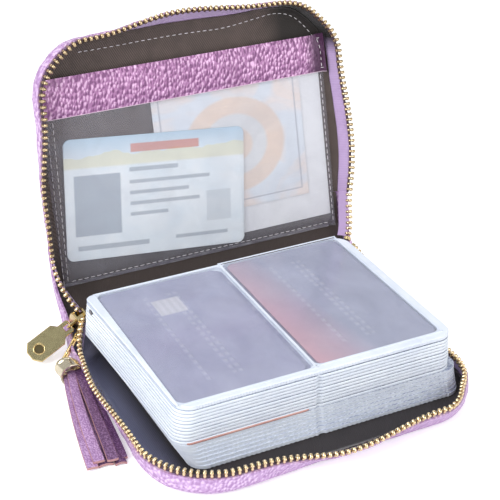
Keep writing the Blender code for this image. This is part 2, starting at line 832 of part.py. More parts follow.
def pocket(frames):
    """The clear window with its sewn hem, the leather band above it, and what they hold."""
    seat = leather_thickness + board_thickness + lining_thickness + 2 * layer_gap
    foot = seat + pocket_gap
    clear = material("clear_window", (0.45, 0.45, 0.46), 0.15)
    low, high = window_level, window_level + window_thickness
    hems = (
        ((window_left, window_low), (window_left + hem_width, window_high)),
        ((window_right - hem_inset - hem_width, window_low), (window_right - hem_inset, window_high)),
        ((window_left, window_low), (window_right - hem_inset, window_low + low_hem_width)),
    )
    window = place(
        "clear_window",
        box((window_left, window_low, low), (window_right, window_high, high)),
        clear,
        frames.lid,
    )
    for number, (a, b) in enumerate(hems):
        grow = 1e-5 * (number + 1)
        leg = box((a[0] + grow, a[1] + grow, foot), (b[0] - grow, b[1] - grow, low + window_thickness / 2))
        cut_or_join(window, as_cutter(place(f"window_hem_{number}", leg, clear, frames.lid)), "UNION")
    band_low = window_high + leaf_gap
    band_high = band_low + band_depth
    top = band_level + band_thickness
    band = place(
        "pocket_band",
        box((window_left, band_low, band_level), (band_right, band_high, top)),
        leather(),
        frames.lid,
    )
    legs = ((window_left, band_high), (band_right - hem_width, band_low + band_hem_right))
    for number, (a, end) in enumerate(legs):
        low = (a + 1e-5, band_low + 1e-5, foot)
        leg = box(low, (a + hem_width - 1e-5, end - 1e-5, band_level + 1e-4))
        cut_or_join(band, as_cutter(place(f"band_hem_{number}", leg, leather(), frames.lid)), "UNION")
    slip = foot
    paper = box((0, 0, slip), (paper_width, paper_height, slip + paper_thickness))
    white = material("white_paper", (0.8, 0.82, 0.86), 0.8)
    place_at(paper, "folded_paper", paper_corner, 0.0, white, frames.lid)
    slip += paper_thickness + pocket_gap
    note = box((0, 0, slip), (note_width, note_height, slip + note_thickness))
    place_at(note, "folded_note", note_corner, 0.0, material("note_paper", (0.6, 0.5, 0.45), 0.8), frames.lid)
    slip += note_thickness + pocket_gap
    top = slip + printed_card_thickness
    printed = box((0, 0, slip), (card_length, card_width, top), card_corner)
    finish = material("printed_card", (0.6, 0.68, 0.75), 0.35)
    place_at(printed, "id_card", printed_card_corner, printed_card_tilt, finish, frames.lid)


def place_at(bm, name, corner, tilt, finish, frame):
    """A flat piece of the pocket, set down by its lower left corner."""
    item = place(name, bm, finish, frame)
    item.location = (corner[0], corner[1], 0)
    item.rotation_euler = (0, 0, math.radians(tilt))
    return item


def leaf_extent():
    """The sleeves' outline, from the two cards that lie side by side in it."""
    left = left_card_corner[0] - leaf_left_margin
    right = left_card_corner[0] + 2 * card_width + column_gap + leaf_right_margin
    front = left_card_corner[1] - leaf_front_margin
    back = left_card_corner[1] + card_length + leaf_back_margin
    return left, right, front, back


def leaf_mesh(name, thickness, slots):
    """A leaf with a welded seam between its columns, and open slots for loose cards."""
    left, right, front, back = leaf_extent()
    body = place(name, box((left, front, 0), (right, back, thickness), leaf_corner), sleeve_film(), None)
    seam = left_card_corner[0] + card_width + column_gap / 2
    for number, (low, high) in enumerate(
        ((-seam_depth, seam_depth), (thickness - seam_depth, thickness + seam_depth))
    ):
        groove = box(
            (seam - seam_width / 2, front - 0.001, low), (seam + seam_width / 2, back + 0.001, high)
        )
        groove = as_cutter(place(f"{name}_seam_{number}", groove, sleeve_film(), None))
        cut_or_join(body, groove, "DIFFERENCE")
    for number, (low, high) in enumerate(slots):
        slot = as_cutter(place(f"{name}_slot_{number}", box(low, high), sleeve_film(), None))
        cut_or_join(body, slot, "DIFFERENCE")
    return baked(body)


def slot_for(corner, thickness, bottom, gap, open_left):
    """A slot round a card, open at the outer side of the leaf."""
    left, right, front, back = leaf_extent()
    wide = 0.0004
    low = [corner[0] - wide, corner[1] - wide, bottom - gap]
    high = [corner[0] + card_width + wide, corner[1] + card_length + wide, bottom + thickness + gap]
    if open_left:
        low[0] = left - 0.001
    else:
        high[0] = right + 0.001
    return low, high


def book():
    """Eighteen leaves in four groups that turn one on another, their bindings and three cards."""
    seat = leather_thickness + board_thickness + lining_thickness + 2 * layer_gap + leaf_gap
    pitch = leaf_thickness + leaf_gap
    left, right, front, back = leaf_extent()
    axis_y = back + leaf_gap + binding_thickness / 2
    right_corner = (
        left_card_corner[0] + card_width + column_gap,
        left_card_corner[1] + right_card_back,
    )
    top_bottom = (top_leaf_thickness - card_thickness) / 2
    thin_bottom = (leaf_thickness - thin_card_thickness) / 2
    top_slots = (
        slot_for(left_card_corner, card_thickness, top_bottom, slot_gap, True),
        slot_for(right_corner, card_thickness, top_bottom, slot_gap, False),
    )
    thin_slot = (slot_for(left_card_corner, thin_card_thickness, thin_bottom, thin_slot_gap, True),)
    plain = leaf_mesh("plain_leaf", leaf_thickness, ())
    slotted = leaf_mesh("slotted_leaf", leaf_thickness, thin_slot)
    top = leaf_mesh("top_leaf", top_leaf_thickness, top_slots)
    groups = (
        ("lower_leaves", 0, lower_count),
        ("middle_leaves", lower_count, lower_count + middle_count),
        ("upper_leaves", lower_count + middle_count, leaf_count - 1),
        ("top_leaf", leaf_count - 1, leaf_count),
    )
    parent = None
    cards = material("card", (0.5, 0.52, 0.6), 0.35)
    for group, first, past in groups:
        pivot = Vector((0, axis_y, seat + first * pitch - leaf_gap / 2))
        frame = empty(group + "_pivot", parent)
        frame.matrix_world = Matrix.Translation(pivot)
        bpy.context.view_layer.update()
        shift = Vector((lower_right, -lower_forward, 0)) if group == "lower_leaves" else Vector()
        for number in range(first, past):
            mesh = top if group == "top_leaf" else slotted if number == lower_count else plain
            leaf = bpy.data.objects.new(f"leaf_{number + 1:02d}", mesh)
            parts.objects.link(leaf)
            leaf.parent = frame
            leaf.location = Vector((0, 0, seat + number * pitch)) + shift - pivot
        if group != "top_leaf":
            low = (left + leaf_corner, -binding_thickness / 2, leaf_gap)
            high = (right - leaf_corner, binding_thickness / 2, (past - first) * pitch - leaf_gap / 2)
            name = "binding_" + group.split("_")[0]
            place(name, box(low, high), sleeve_film(), frame)
        parent = frame
        rest = seat + first * pitch
        if group == "middle_leaves":
            place_card("red_card", left_card_corner, rest + thin_bottom, thin_card_thickness, frame)
        if group == "top_leaf":
            place_card("left_card", left_card_corner, rest + top_bottom, card_thickness, frame)
            place_card("right_card", right_corner, rest + top_bottom, card_thickness, frame)


def place_card(name, corner, bottom, thickness, frame):
    colours = {
        "red_card": (0.6, 0.2, 0.15),
        "left_card": (0.42, 0.43, 0.55),
        "right_card": (0.4, 0.42, 0.55),
    }
    low = (0, 0, 0)
    high = (card_width, card_length, thickness)
    item = place(name, box(low, high, card_corner), material(name, colours[name], 0.35), frame)
    item.location = Vector((corner[0], corner[1], bottom)) - frame.matrix_world.translation


def main():
    clear_scene()
    frames = Frames()
    base_outline = Outline(-1, base_wall_angles)
    lid_outline = Outline(1, lid_wall_angles)
    covers(frames, base_outline, lid_outline)
    pocket(frames)
    book()
    slider_frame = slider(frames)
    pull_tab(slider_frame)
    zip_ends(frames, base_outline, lid_outline)
    tassel(slider_frame)


main()
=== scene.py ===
"""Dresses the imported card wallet: fine meshes and node materials, a pale floor, lamps and a camera."""

import math
import random

import bpy
import numpy as np
from mathutils import Matrix, Vector
from mathutils.geometry import delaunay_2d_cdt


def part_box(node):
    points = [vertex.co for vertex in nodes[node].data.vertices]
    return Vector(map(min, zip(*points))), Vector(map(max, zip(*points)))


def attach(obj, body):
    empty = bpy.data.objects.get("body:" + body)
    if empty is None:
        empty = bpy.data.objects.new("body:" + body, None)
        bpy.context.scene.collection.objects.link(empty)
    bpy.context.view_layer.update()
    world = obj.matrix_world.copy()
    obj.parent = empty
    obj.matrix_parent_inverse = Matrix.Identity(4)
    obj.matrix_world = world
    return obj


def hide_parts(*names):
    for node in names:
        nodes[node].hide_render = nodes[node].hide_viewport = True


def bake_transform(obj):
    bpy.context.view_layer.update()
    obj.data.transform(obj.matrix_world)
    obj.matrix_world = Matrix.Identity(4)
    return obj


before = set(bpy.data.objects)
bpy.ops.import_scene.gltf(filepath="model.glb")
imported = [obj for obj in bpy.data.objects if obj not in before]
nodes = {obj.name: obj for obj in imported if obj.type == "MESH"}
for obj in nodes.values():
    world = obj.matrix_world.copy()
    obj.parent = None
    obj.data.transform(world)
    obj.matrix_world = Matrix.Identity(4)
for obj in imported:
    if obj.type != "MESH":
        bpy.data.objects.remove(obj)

scene = bpy.context.scene
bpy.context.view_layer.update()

# The cover's measures in metres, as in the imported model. A layer is its outer and inner depth.
width = 0.134
depth = 0.1065
corner = 0.023
bend_radius = 0.005
spine_width = 0.0352
askew = 0.0045
leather_wall = 0.0117
leather_layer = (0.0, 0.001)
tape_layer = (0.00125, 0.00165)
lining_layer = (0.0019, 0.0022)
lining_walls = {"base": 0.0088, "lid": 0.0068}
tape_lows = {"base": 0.0066, "lid": 0.0016}
tape_high = 0.0124
tooth_pitch = 0.00255
tooth_start = 0.0121
tooth_end = 0.0146
chain_along = (tooth_start + tooth_end) / 2
chain_depth = 0.0014
end_run = 0.017
# The wall's lean at the left crease, middle of the left side, start, middle and end of the left
# corner, middle of the front, and so on to the right crease.
base_angles = (95, 54, 82, 96, 84, 35, 62, 97, 94, 84, 88)
lid_angles = (72, 72, 108, 118, 86, 62, 76, 74, 64, 38, 74)
# How far the soft cover's root is pulled in at those places, in millimetres.
base_pulls = (0, 0.6, -1.9, -2.6, -2.3, -0.8, -0.3, 1.9, 2.6, 2.4, 0)
lid_pulls = (0, 0.6, 2.8, 3.4, 3.4, 0.8, 2.0, 0.4, -1.6, -2.2, 0)


def tilted(degrees):
    return Matrix.Rotation(math.radians(degrees), 4, "X")


def axes(x, y, z):
    """The turn whose axes are these."""
    return Matrix((x, y, z)).transposed().to_4x4()


def ease(x):
    x = min(max(x, 0.0), 1.0)
    return x * x * (3 - 2 * x)


base_frame = Matrix.Translation((0, depth / 2, 0))
spine_frame = base_frame @ tilted(27.2)
lid_frame = spine_frame @ Matrix.Translation((askew, spine_width, 0)) @ tilted(49.1)
frames = (base_frame, spine_frame, lid_frame)
up_base, up_spine, up_lid = (place.to_3x3() @ Vector((0, 0, 1)) for place in frames)


# Materials

band_run = 0.314  # the wave texture's pitch at a scale of 1


def scaled(colour, factor, lift=0.0):
    return tuple(min(c * factor + lift, 1) for c in colour)


class Finish:
    """A node material while it is put together."""

    def __init__(self, name, colour, roughness, metallic=0.0, **constants):
        self.material = bpy.data.materials.new(name)
        self.material.use_nodes = True
        self.tree = self.material.node_tree
        self.shader = self.tree.nodes["Principled BSDF"]
        self.shader.inputs["Base Color"].default_value = (*colour, 1)
        self.shader.inputs["Roughness"].default_value = roughness
        self.shader.inputs["Metallic"].default_value = metallic
        for key, value in constants.items():
            self.shader.inputs[key.replace("_", " ")].default_value = value
        self.material.diffuse_color = (*colour, 1)

    def node(self, kind, inputs=(), **settings):
        made = self.tree.nodes.new("ShaderNode" + kind)
        for key, value in settings.items():
            setattr(made, key, value)
        for key, value in dict(inputs).items():
            if isinstance(value, bpy.types.NodeSocket):
                self.tree.links.new(value, made.inputs[key])
            elif value is not None:
                made.inputs[key].default_value = value
        return made

    def place(self, kind="Object", scale=(1, 1, 1), turn=(0, 0, 0)):
        """Object or UV coordinates, scaled and turned."""
        inputs = {"Vector": self.node("TexCoord").outputs[kind], "Scale": scale, "Rotation": turn}
        return self.node("Mapping", inputs).outputs[0]

    def noise(self, where, scale, detail=2.0, rough=0.5, bend=0.0):
        inputs = {"Vector": where, "Scale": scale, "Detail": detail, "Roughness": rough, "Distortion": bend}
        return self.node("TexNoise", inputs).outputs[0]

    def cells(self, where, scale, smooth=0.35):
        inputs = {"Vector": where, "Scale": scale, "Smoothness": smooth}
        return self.node("TexVoronoi", inputs, feature="SMOOTH_F1").outputs["Distance"]

    def wave(self, where, pitch, axis="X", bend=0.0, detail_scale=1.0):
        inputs = {"Vector": where, "Scale": band_run / pitch}
        inputs |= {"Distortion": bend, "Detail Scale": detail_scale}
        return self.node("TexWave", inputs, wave_type="BANDS", bands_direction=axis).outputs["Fac"]

    def rise(self, value, start, end, low=0.0, high=1.0):
        """Low up to the start, high past the end."""
        return self.node("MapRange", {0: value, 1: start, 2: end, 3: low, 4: high}, clamp=True).outputs[0]

    def inside(self, value, low, high, soft):
        """1 between two values, with soft edges."""
        rise = self.rise(value, low - soft, low + soft)
        return self.calc("SUBTRACT", rise, self.rise(value, high - soft, high + soft), clamp=True)

    def patch(self, where, low, high, soft=0.004):
        """1 inside a rectangle."""
        across, along = (self.inside(self.axis(where, i), low[i], high[i], soft) for i in (0, 1))
        return self.calc("MULTIPLY", across, along)

    def ramp(self, value, stops):
        made = self.node("ValToRGB", {0: value})
        elements = made.color_ramp.elements
        while len(elements) < len(stops):
            elements.new(0.5)
        for element, (spot, colour) in zip(elements, stops):
            element.position = spot
            element.color = (*colour, 1)
        return made.outputs[0]

    def over(self, tone, colour, share, strength=None):
        """A tone with a colour over it by a share."""
        if strength is not None:
            share = self.calc("MULTIPLY", share, strength)
        made = self.node("MixRGB", {0: share})
        for key, value in ((1, tone), (2, colour)):
            if isinstance(value, bpy.types.NodeSocket):
                self.tree.links.new(value, made.inputs[key])
            else:
                made.inputs[key].default_value = (*value, 1)
        return made.outputs[0]

    def calc(self, how, a, b, c=None, clamp=False):
        return self.node("Math", {0: a, 1: b, 2: c}, operation=how, use_clamp=clamp).outputs[0]

    def vector(self, how, a, b):
        return self.node("VectorMath", {0: a, 1: b}, operation=how).outputs

    def axis(self, where, which):
        return self.node("SeparateXYZ", {0: where}).outputs[which]

    def wire(self, value, socket):
        self.tree.links.new(value, self.shader.inputs[socket])

    def done(self, tone, *bumps):
        """The material, with its colour and its bumps: each a height, a strength and a distance."""
        self.wire(tone, "Base Color")
        normal = None
        for height, strength, distance in bumps:
            inputs = {"Height": height, "Strength": strength, "Distance": distance, "Normal": normal}
            normal = self.node("Bump", inputs).outputs[0]
        if normal is not None:
            self.wire(normal, "Normal")
        return self.material


def shade_towards(f, tone, shade, *ways):
    """A tone that turns to a second colour, laid on by place as painted shade and painted light, where each
    axis of the place is past its limits.
    """
    share = 1.0
    for which, start, end in ways:
        share = f.calc("MULTIPLY", f.rise(f.axis(f.place(), which), start, end), share)
    return f.over(tone, shade, share)


def leather(name, low, middle, high, grain=760.0, depth_of_grain=0.00022, rough=0.42, shine=0.25,
            painted_glints=0.12, stretch=0.8, painted_shade_end=None):
    """Pebbled leather with a pearly coat and painted light: each pebble is painted paler on its upper left
    side, as if lit from there, with painted glints on fine specks.
    """
    f = Finish(name, middle, rough, shine, Coat_Weight=0.18, Coat_Roughness=0.3)
    where = f.place(scale=(1, 1, stretch))
    push = f.node("TexNoise", {"Vector": where, "Scale": 420.0}).outputs[1]
    bent = f.vector("ADD", where, f.vector("MULTIPLY", push, (0.0009, 0.0009, 0.0009))[0])[0]
    pebble = f.cells(bent, grain)
    # Painted light on each pebble: its height a little up and to the left, less its own height, picks the
    # tone.
    towards_painted_light = f.vector("ADD", bent, (-0.00030, -0.00012, 0.00028))[0]
    lit = f.calc("MULTIPLY_ADD", f.calc("SUBTRACT", f.cells(towards_painted_light, grain), pebble), 1.7, 0.5)
    fine = f.noise(where, 4200.0, 3.0, 0.6)
    broad = f.noise(where, 90.0, 3.0, 0.55)
    tone = f.ramp(lit, [(0.18, low), (0.46, middle), (0.60, middle), (0.86, high)])
    # Painted glints: pale specks of the high colour, as painted highlights.
    tone = f.over(tone, scaled(high, 1.35, 0.12), f.rise(fine, 0.56, 0.70, high=painted_glints))
    tone = f.over(tone, low, f.rise(broad, 0.40, 0.80, high=0.35))
    # Painted shade towards one end, where given.
    if painted_shade_end:
        tone = shade_towards(f, tone, scaled(low, 0.4), painted_shade_end)
    f.wire(f.rise(pebble, 0.1, 0.7, rough - 0.08, rough + 0.22), "Roughness")
    return f.done(tone, (f.calc("SUBTRACT", 1.0, pebble), 0.75, depth_of_grain), (fine, 0.35, 0.00006))


def twill(name, dark, pale, painted_tint=None, pitch=0.00062, shadows=()):
    """Diagonal weave. A painted tint, if given, is a colour of painted light, a painted sheen, that takes
    over towards -X.
    """
    f = Finish(name, dark, 0.72, 0.0, Sheen_Weight=0.25, Sheen_Roughness=0.4)
    along, across = (f.place(turn=(0, math.radians(a), math.radians(a))) for a in (38, -52))
    lines = f.wave(along, pitch, "X", 0.5, 3.0)
    cross = f.wave(across, pitch * 0.6, "X", 0.3)
    weave = f.calc("MULTIPLY_ADD", lines, 0.7, f.calc("MULTIPLY", cross, 0.3))
    worn = f.noise(f.place(), 160.0, 3.0, 0.6)
    tone = f.over(dark, pale, weave)
    tone = f.over(tone, scaled(dark, 0.55), f.rise(worn, 0.35, 0.7, high=0.35))
    # Painted light: the painted tint takes over towards -X.
    if painted_tint:
        tone = shade_towards(f, tone, painted_tint, (0, -0.058, -0.068))
    for strength, limits in shadows:
        tone = shade_towards(f, tone, scaled(dark, strength), *limits)
    return f.done(tone, (weave, 0.6, 0.00012))


def woven(name, dark, pale, shadow=()):
    """Zip tape: fine ribs along and across."""
    f = Finish(name, pale, 0.7, 0.0, Sheen_Weight=0.3, Sheen_Roughness=0.4)
    ribs = f.wave(f.place("UV"), 0.00055, "Y", 0.2)
    rows = f.wave(f.place("UV"), 0.0008, "X", 0.4)
    both = f.calc("MULTIPLY", ribs, f.calc("MULTIPLY_ADD", rows, 0.5, 0.5))
    fuzz = f.noise(f.place(), 1500.0, 3.0, 0.6)
    tone = f.over(f.over(dark, pale, both), scaled(pale, 0.7), fuzz, 0.35)
    if shadow:
        tone = shade_towards(f, tone, (0.012, 0.009, 0.010), *shadow)
    return f.done(tone, (both, 0.7, 0.00012), (fuzz, 0.2, 0.00005))


def gold(name, colour, rough=0.2):
    """Plated metal with faint scuffs and dull patches."""
    f = Finish(name, colour, rough, 1.0)
    scuff = f.noise(f.place(scale=(1, 1, 0.25)), 2600.0, 4.0, 0.65)
    f.wire(f.rise(scuff, 0.35, 0.75, rough - 0.06, rough + 0.16), "Roughness")
    dull = f.rise(f.noise(f.place(), 350.0), 0.4, 0.75, high=0.55)
    return f.done(f.over(colour, scaled(colour, 0.72), dull), (scuff, 0.12, 0.00004))


def vinyl(name, colour, shade):
    """Clear sleeves seen on edge: bluish white, with fine level lines."""
    f = Finish(name, colour, 0.28, 0.0, Coat_Weight=0.25, Coat_Roughness=0.15)
    lines = f.wave(f.place(), 0.00038, "Z", 0.4, 4.0)
    cloud = f.noise(f.place(scale=(1, 1, 3)), 55.0, 4.0, 0.6, 0.6)
    streak = f.noise(f.place(scale=(0.15, 0.15, 2.0)), 900.0, 3.0, 0.6)
    tone = f.over(colour, shade, f.rise(cloud, 0.3, 0.72))
    tone = f.over(tone, (0.96, 0.98, 1.0), f.rise(streak, 0.5, 0.8, high=0.35))
    return f.done(tone, (lines, 0.25, 0.00008), (cloud, 0.3, 0.0006))


def painted_groove_shade():
    """The gaps between sleeves, in painted shade: paler towards the left of the book, where painted light
    falls, darker towards its right.
    """
    f = Finish("sleeve_grooves_painted_shade", (0.4, 0.45, 0.58), 0.5)
    dots = f.noise(f.place(scale=(1, 1, 0.2)), 1300.0)
    tone = shade_towards(f, (0.58, 0.64, 0.76), (0.20, 0.23, 0.34), (0, -0.055, 0.03))
    return f.done(f.over(tone, (0.75, 0.80, 0.88), f.rise(dots, 0.45, 0.6, high=0.6)), (dots, 0.3, 0.0001))


def film(name, colour, rough=0.12, alpha=0.12):
    """Thin clear film with a slight ripple and dust."""
    f = Finish(name, colour, rough, 0.0, Coat_Weight=0.6, Coat_Roughness=0.08)
    ripple = f.noise(f.place(), 60.0, 3.0, 0.55, 0.8)
    dust = f.noise(f.place(), 2600.0)
    f.wire(f.rise(ripple, 0.3, 0.75, alpha * 0.8, alpha * 1.3), "Alpha")
    tone = f.over(colour, scaled(colour, 1.5), f.rise(dust, 0.6, 0.75, high=0.5))
    return f.done(tone, (ripple, 0.5, 0.0012))


def thread(name, colour):
    f = Finish(name, colour, 0.55, 0.0, Sheen_Weight=0.3)
    twist = f.wave(f.place(turn=(0.5, 0.5, 0.4)), 0.00025, "X", 1.0)
    return f.done(f.over(scaled(colour, 0.7), colour, twist), (twist, 0.5, 0.00005))


def raw_edge(name, colour):
    """The cut, fibrous edge of a hide with a metallic face."""
    f = Finish(name, colour, 0.5, 0.3)
    fibre = f.noise(f.place(), 2400.0, 4.0, 0.7)
    return f.done(f.over(scaled(colour, 0.55), scaled(colour, 1.3), fibre), (fibre, 0.6, 0.0001))


def printed_card():
    """A pale card with a landscape band, a plain block and plain bars."""
    f = Finish("printed_card", (0.62, 0.70, 0.76), 0.3, 0.0, Coat_Weight=0.4, Coat_Roughness=0.12)
    where = f.place("UV")
    y = f.axis(where, 1)
    haze = f.noise(where, 5.0, 4.0, 0.6, 0.7)
    tone = f.over((0.74, 0.83, 0.90), (0.86, 0.90, 0.93), f.rise(haze, 0.3, 0.75))
    tone = f.over(tone, (0.36, 0.55, 0.72), f.rise(y, 0.78, 1.0), 0.8)
    hills = f.rise(f.noise(f.place("UV", (6, 0.2, 1)), 1.0, 4.0), 0.2, 0.8, 0.80, 0.93)
    below = f.calc("SUBTRACT", 1.0, f.calc("GREATER_THAN", y, hills))
    tone = f.over(tone, (0.74, 0.72, 0.50), f.calc("MULTIPLY", below, f.inside(y, 0.76, 0.95, 0.01)), 0.65)
    blocks = (
        ((0.36, 0.86), (0.74, 0.93), (0.62, 0.16, 0.08), 0.75),
        ((0.05, 0.20), (0.30, 0.70), (0.30, 0.36, 0.44), 0.8),
        ((0.78, 0.22), (0.92, 0.48), (0.45, 0.50, 0.56), 0.45),
    )
    bars = (
        ((0.35, 0.70), (0.62, 0.735)), ((0.35, 0.60), (0.80, 0.63)), ((0.35, 0.51), (0.68, 0.54)),
        ((0.35, 0.42), (0.74, 0.45)), ((0.35, 0.33), (0.56, 0.36)), ((0.06, 0.08), (0.45, 0.12)),
        ((0.60, 0.10), (0.90, 0.13)),
    )
    for low, high, colour, strength in blocks + tuple((*bar, (0.22, 0.27, 0.34), 0.6) for bar in bars):
        tone = f.over(tone, colour, f.patch(where, low, high), strength)
    return f.done(tone, (haze, 0.1, 0.0001))


def printed_note():
    """A pale note with a frame line, soft clouds of peach and a ring motif."""
    f = Finish("note_paper", (0.62, 0.68, 0.76), 0.7)
    where = f.place("UV")
    fibre = f.noise(where, 60.0, 4.0, 0.6)
    cloud = f.noise(where, 3.2, 3.0, 0.5, 0.8)
    tone = f.over((0.72, 0.78, 0.86), (0.86, 0.76, 0.72), f.rise(cloud, 0.45, 0.62))
    away = f.vector("DISTANCE", where, (0.52, 0.46, 0.0))["Value"]
    discs = ((0.34, (0.80, 0.62, 0.50)), (0.22, (0.68, 0.74, 0.80)), (0.12, (0.82, 0.64, 0.52)))
    for radius, colour in discs:
        tone = f.over(tone, colour, f.rise(away, radius + 0.01, radius - 0.01), 0.8)
    outer, inner = f.patch(where, (0.04, 0.05), (0.96, 0.95)), f.patch(where, (0.05, 0.06), (0.95, 0.94))
    tone = f.over(tone, (0.32, 0.34, 0.42), f.calc("SUBTRACT", outer, inner, clamp=True), 0.7)
    tone = f.over(tone, (0.40, 0.42, 0.52), f.wave(where, band_run / 14, "Y", 5.0, 2.5), 0.12)
    return f.done(f.over(tone, (0.9, 0.9, 0.9), fibre, 0.15), (fibre, 0.2, 0.00008))


def plain_paper():
    f = Finish("plain_paper", (0.80, 0.82, 0.86), 0.75)
    fibre = f.noise(f.place("UV"), 90.0, 4.0, 0.65)
    return f.done(f.over((0.74, 0.76, 0.82), (0.86, 0.87, 0.89), fibre), (fibre, 0.3, 0.00008))


def plastic_card(name, tone_low, tone_high, blush=None, chip=False):
    """A smooth plastic card with raised marks, a soft gradient and, on one, a contact plate."""
    f = Finish(name, tone_low, 0.3, 0.05, Coat_Weight=0.5, Coat_Roughness=0.1)
    where = f.place("UV")
    x, y = f.axis(where, 0), f.axis(where, 1)
    haze = f.noise(where, 4.0, 3.0, 0.5, 0.5)
    tone = f.over(tone_low, tone_high, f.rise(haze, 0.3, 0.7))
    if blush:
        slant = f.calc("MULTIPLY_ADD", x, 1.5, f.calc("MULTIPLY", y, 0.35))
        tone = f.over(tone, blush, f.rise(slant, 0.75, 0.05), 0.9)
    dashes = f.calc("MULTIPLY", f.wave(f.place("UV", (1, 86, 1)), 4.3, "Y"), f.inside(y, 0.12, 0.88, 0.01))
    marks = 0.0
    for row in (0.55, 0.50, 0.30):
        line = f.calc("MULTIPLY", f.inside(x, row, row + 0.03, 0.004), dashes)
        marks = f.calc("MAXIMUM", line, marks)
    tone = f.over(tone, (0.66, 0.68, 0.76), marks, 0.22)
    if chip:
        plate = f.patch(where, (0.34, 0.70), (0.56, 0.84), 0.006)
        lines = f.wave(f.place("UV", (54, 86, 1)), 3.0, "X")
        tone = f.over(tone, (0.70, 0.70, 0.74), plate, 0.7)
        tone = f.over(tone, (0.3, 0.3, 0.35), f.calc("MULTIPLY", plate, lines), 0.25)
    tone = f.over(tone, (0.8, 0.82, 0.9), f.noise(f.place("UV", (54, 86, 1)), 9.0), 0.12)
    return f.done(tone, (marks, 0.5, 0.0003), (haze, 0.05, 0.0002))


hide = leather("lilac_leather", (0.44, 0.26, 0.51), (0.60, 0.40, 0.68), (0.80, 0.62, 0.85))
# The band darkens towards its right end, where it climbs the wall, as painted shade.
band_hide = leather(
    "band_leather", (0.20, 0.070, 0.19), (0.41, 0.19, 0.38), (0.76, 0.48, 0.72), grain=780.0,
    depth_of_grain=0.0005, rough=0.34, shine=0.35, stretch=0.6, painted_shade_end=(0, 0.0650, 0.0705),
)
suede = {"grain": 1500.0, "depth_of_grain": 0.00014, "rough": 0.34, "shine": 0.45, "painted_glints": 0.1}
# Two copies of the strip leather: a dark one as painted shade and a pale one as painted light.
strip_painted_shade = leather("strip_leather_painted_shade", (0.11, 0.045, 0.13), (0.17, 0.080, 0.19), (0.28, 0.16, 0.31), **suede)
strip_painted_light = leather(
    "strip_leather_painted_light", (0.32, 0.17, 0.37), (0.44, 0.26, 0.49), (0.60, 0.40, 0.65), **suede
)
# The lid's upper right corner and its foot lie in the fold's own shade.
lid_corner = ((0, 0.046, 0.056), (2, 0.098, 0.106))
lid_foot = ((2, 0.038, 0.026),)
lid_shadows = ((0.35, lid_corner), (1.0, lid_foot))
cloth = twill("lid_lining", (0.034, 0.023, 0.020), (0.125, 0.090, 0.080), shadows=lid_shadows)
# The tray's lining turns slate blue towards the left as painted light: a painted sheen.
tray_cloth = twill("tray_lining", (0.008, 0.006, 0.008), (0.026, 0.018, 0.022), painted_tint=(0.17, 0.18, 0.29))
tape_cloth = woven("zip_tape", (0.38, 0.25, 0.48), (0.66, 0.50, 0.78), shadow=lid_corner)
# The tape's bead is near black as painted shade in the gaps between the teeth.
bead_painted_shade = woven("tape_bead", (0.05, 0.025, 0.045), (0.16, 0.09, 0.13))
bright = gold("gold_metal", (0.83, 0.66, 0.34))
tooth_gold = gold("tooth_gold", (0.86, 0.68, 0.42))
# A darker copy of the tooth gold for the lid's teeth: painted shade.
tooth_painted_shade = gold("tooth_painted_shade", (0.62, 0.48, 0.29), 0.24)
plate_gold = gold("plate_gold", (0.52, 0.46, 0.26), 0.24)
cap_gold = gold("cap_gold", (0.80, 0.72, 0.55), 0.18)
eye_shade = gold("tab_eye", (0.16, 0.13, 0.07), 0.4)
sleeve_low = vinyl("sleeve_edges", (0.80, 0.86, 0.94), (0.66, 0.72, 0.83))
sleeve_high = vinyl("sleeve_edges_upper", (0.80, 0.86, 0.94), (0.68, 0.74, 0.85))
frost = vinyl("sleeve_rim", (0.76, 0.82, 0.92), (0.62, 0.68, 0.80))
# A dark tinted sheet for painted shade inside the sleeves, beyond the cards' edges.
inside = vinyl("sleeve_painted_shade", (0.30, 0.31, 0.45), (0.26, 0.27, 0.41))
hem = vinyl("window_hem", (0.16, 0.15, 0.18), (0.10, 0.09, 0.11))
hole_shade = vinyl("hole_shade", (0.03, 0.03, 0.05), (0.02, 0.02, 0.03))
groove = painted_groove_shade()
clear = film("sleeve_face", (0.55, 0.58, 0.68))
smoke = film("window_film", (0.52, 0.52, 0.60), 0.14)
white_thread = thread("white_thread", (0.80, 0.76, 0.80))
dark_thread = thread("dark_thread", (0.16, 0.10, 0.12))
copper_edge = raw_edge("raw_edge", (0.55, 0.30, 0.30))
pale_edge = raw_edge("pale_raw_edge", (0.80, 0.62, 0.74))
stiffener = raw_edge("stiffener_board", (0.40, 0.32, 0.24))


# Meshes


def make(name, points, faces, finishes, uv=None, picks=None, angle=45):
    mesh = bpy.data.meshes.new(name)
    mesh.from_pydata([tuple(p) for p in points], [], [tuple(f) for f in faces])
    for finish in finishes if isinstance(finishes, (list, tuple)) else [finishes]:
        mesh.materials.append(finish)
    if picks is not None:
        mesh.polygons.foreach_set("material_index", picks)
    if uv is not None:
        layer = mesh.uv_layers.new(name="run")
        layer.data.foreach_set("uv", np.array(uv, float)[[loop.vertex_index for loop in mesh.loops]].ravel())
    mesh.update()
    mesh.shade_smooth()
    mesh.set_sharp_from_angle(angle=math.radians(angle))
    item = bpy.data.objects.new(name, mesh)
    scene.collection.objects.link(item)
    return item


def settle(item, body, slot, *replaced):
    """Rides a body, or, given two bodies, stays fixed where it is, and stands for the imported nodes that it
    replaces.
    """
    if isinstance(body, tuple):
        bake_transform(item)
    else:
        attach(item, body)
    if replaced:
        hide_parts(*replaced)


def flat(rows):
    return [item for row in rows for item in row]


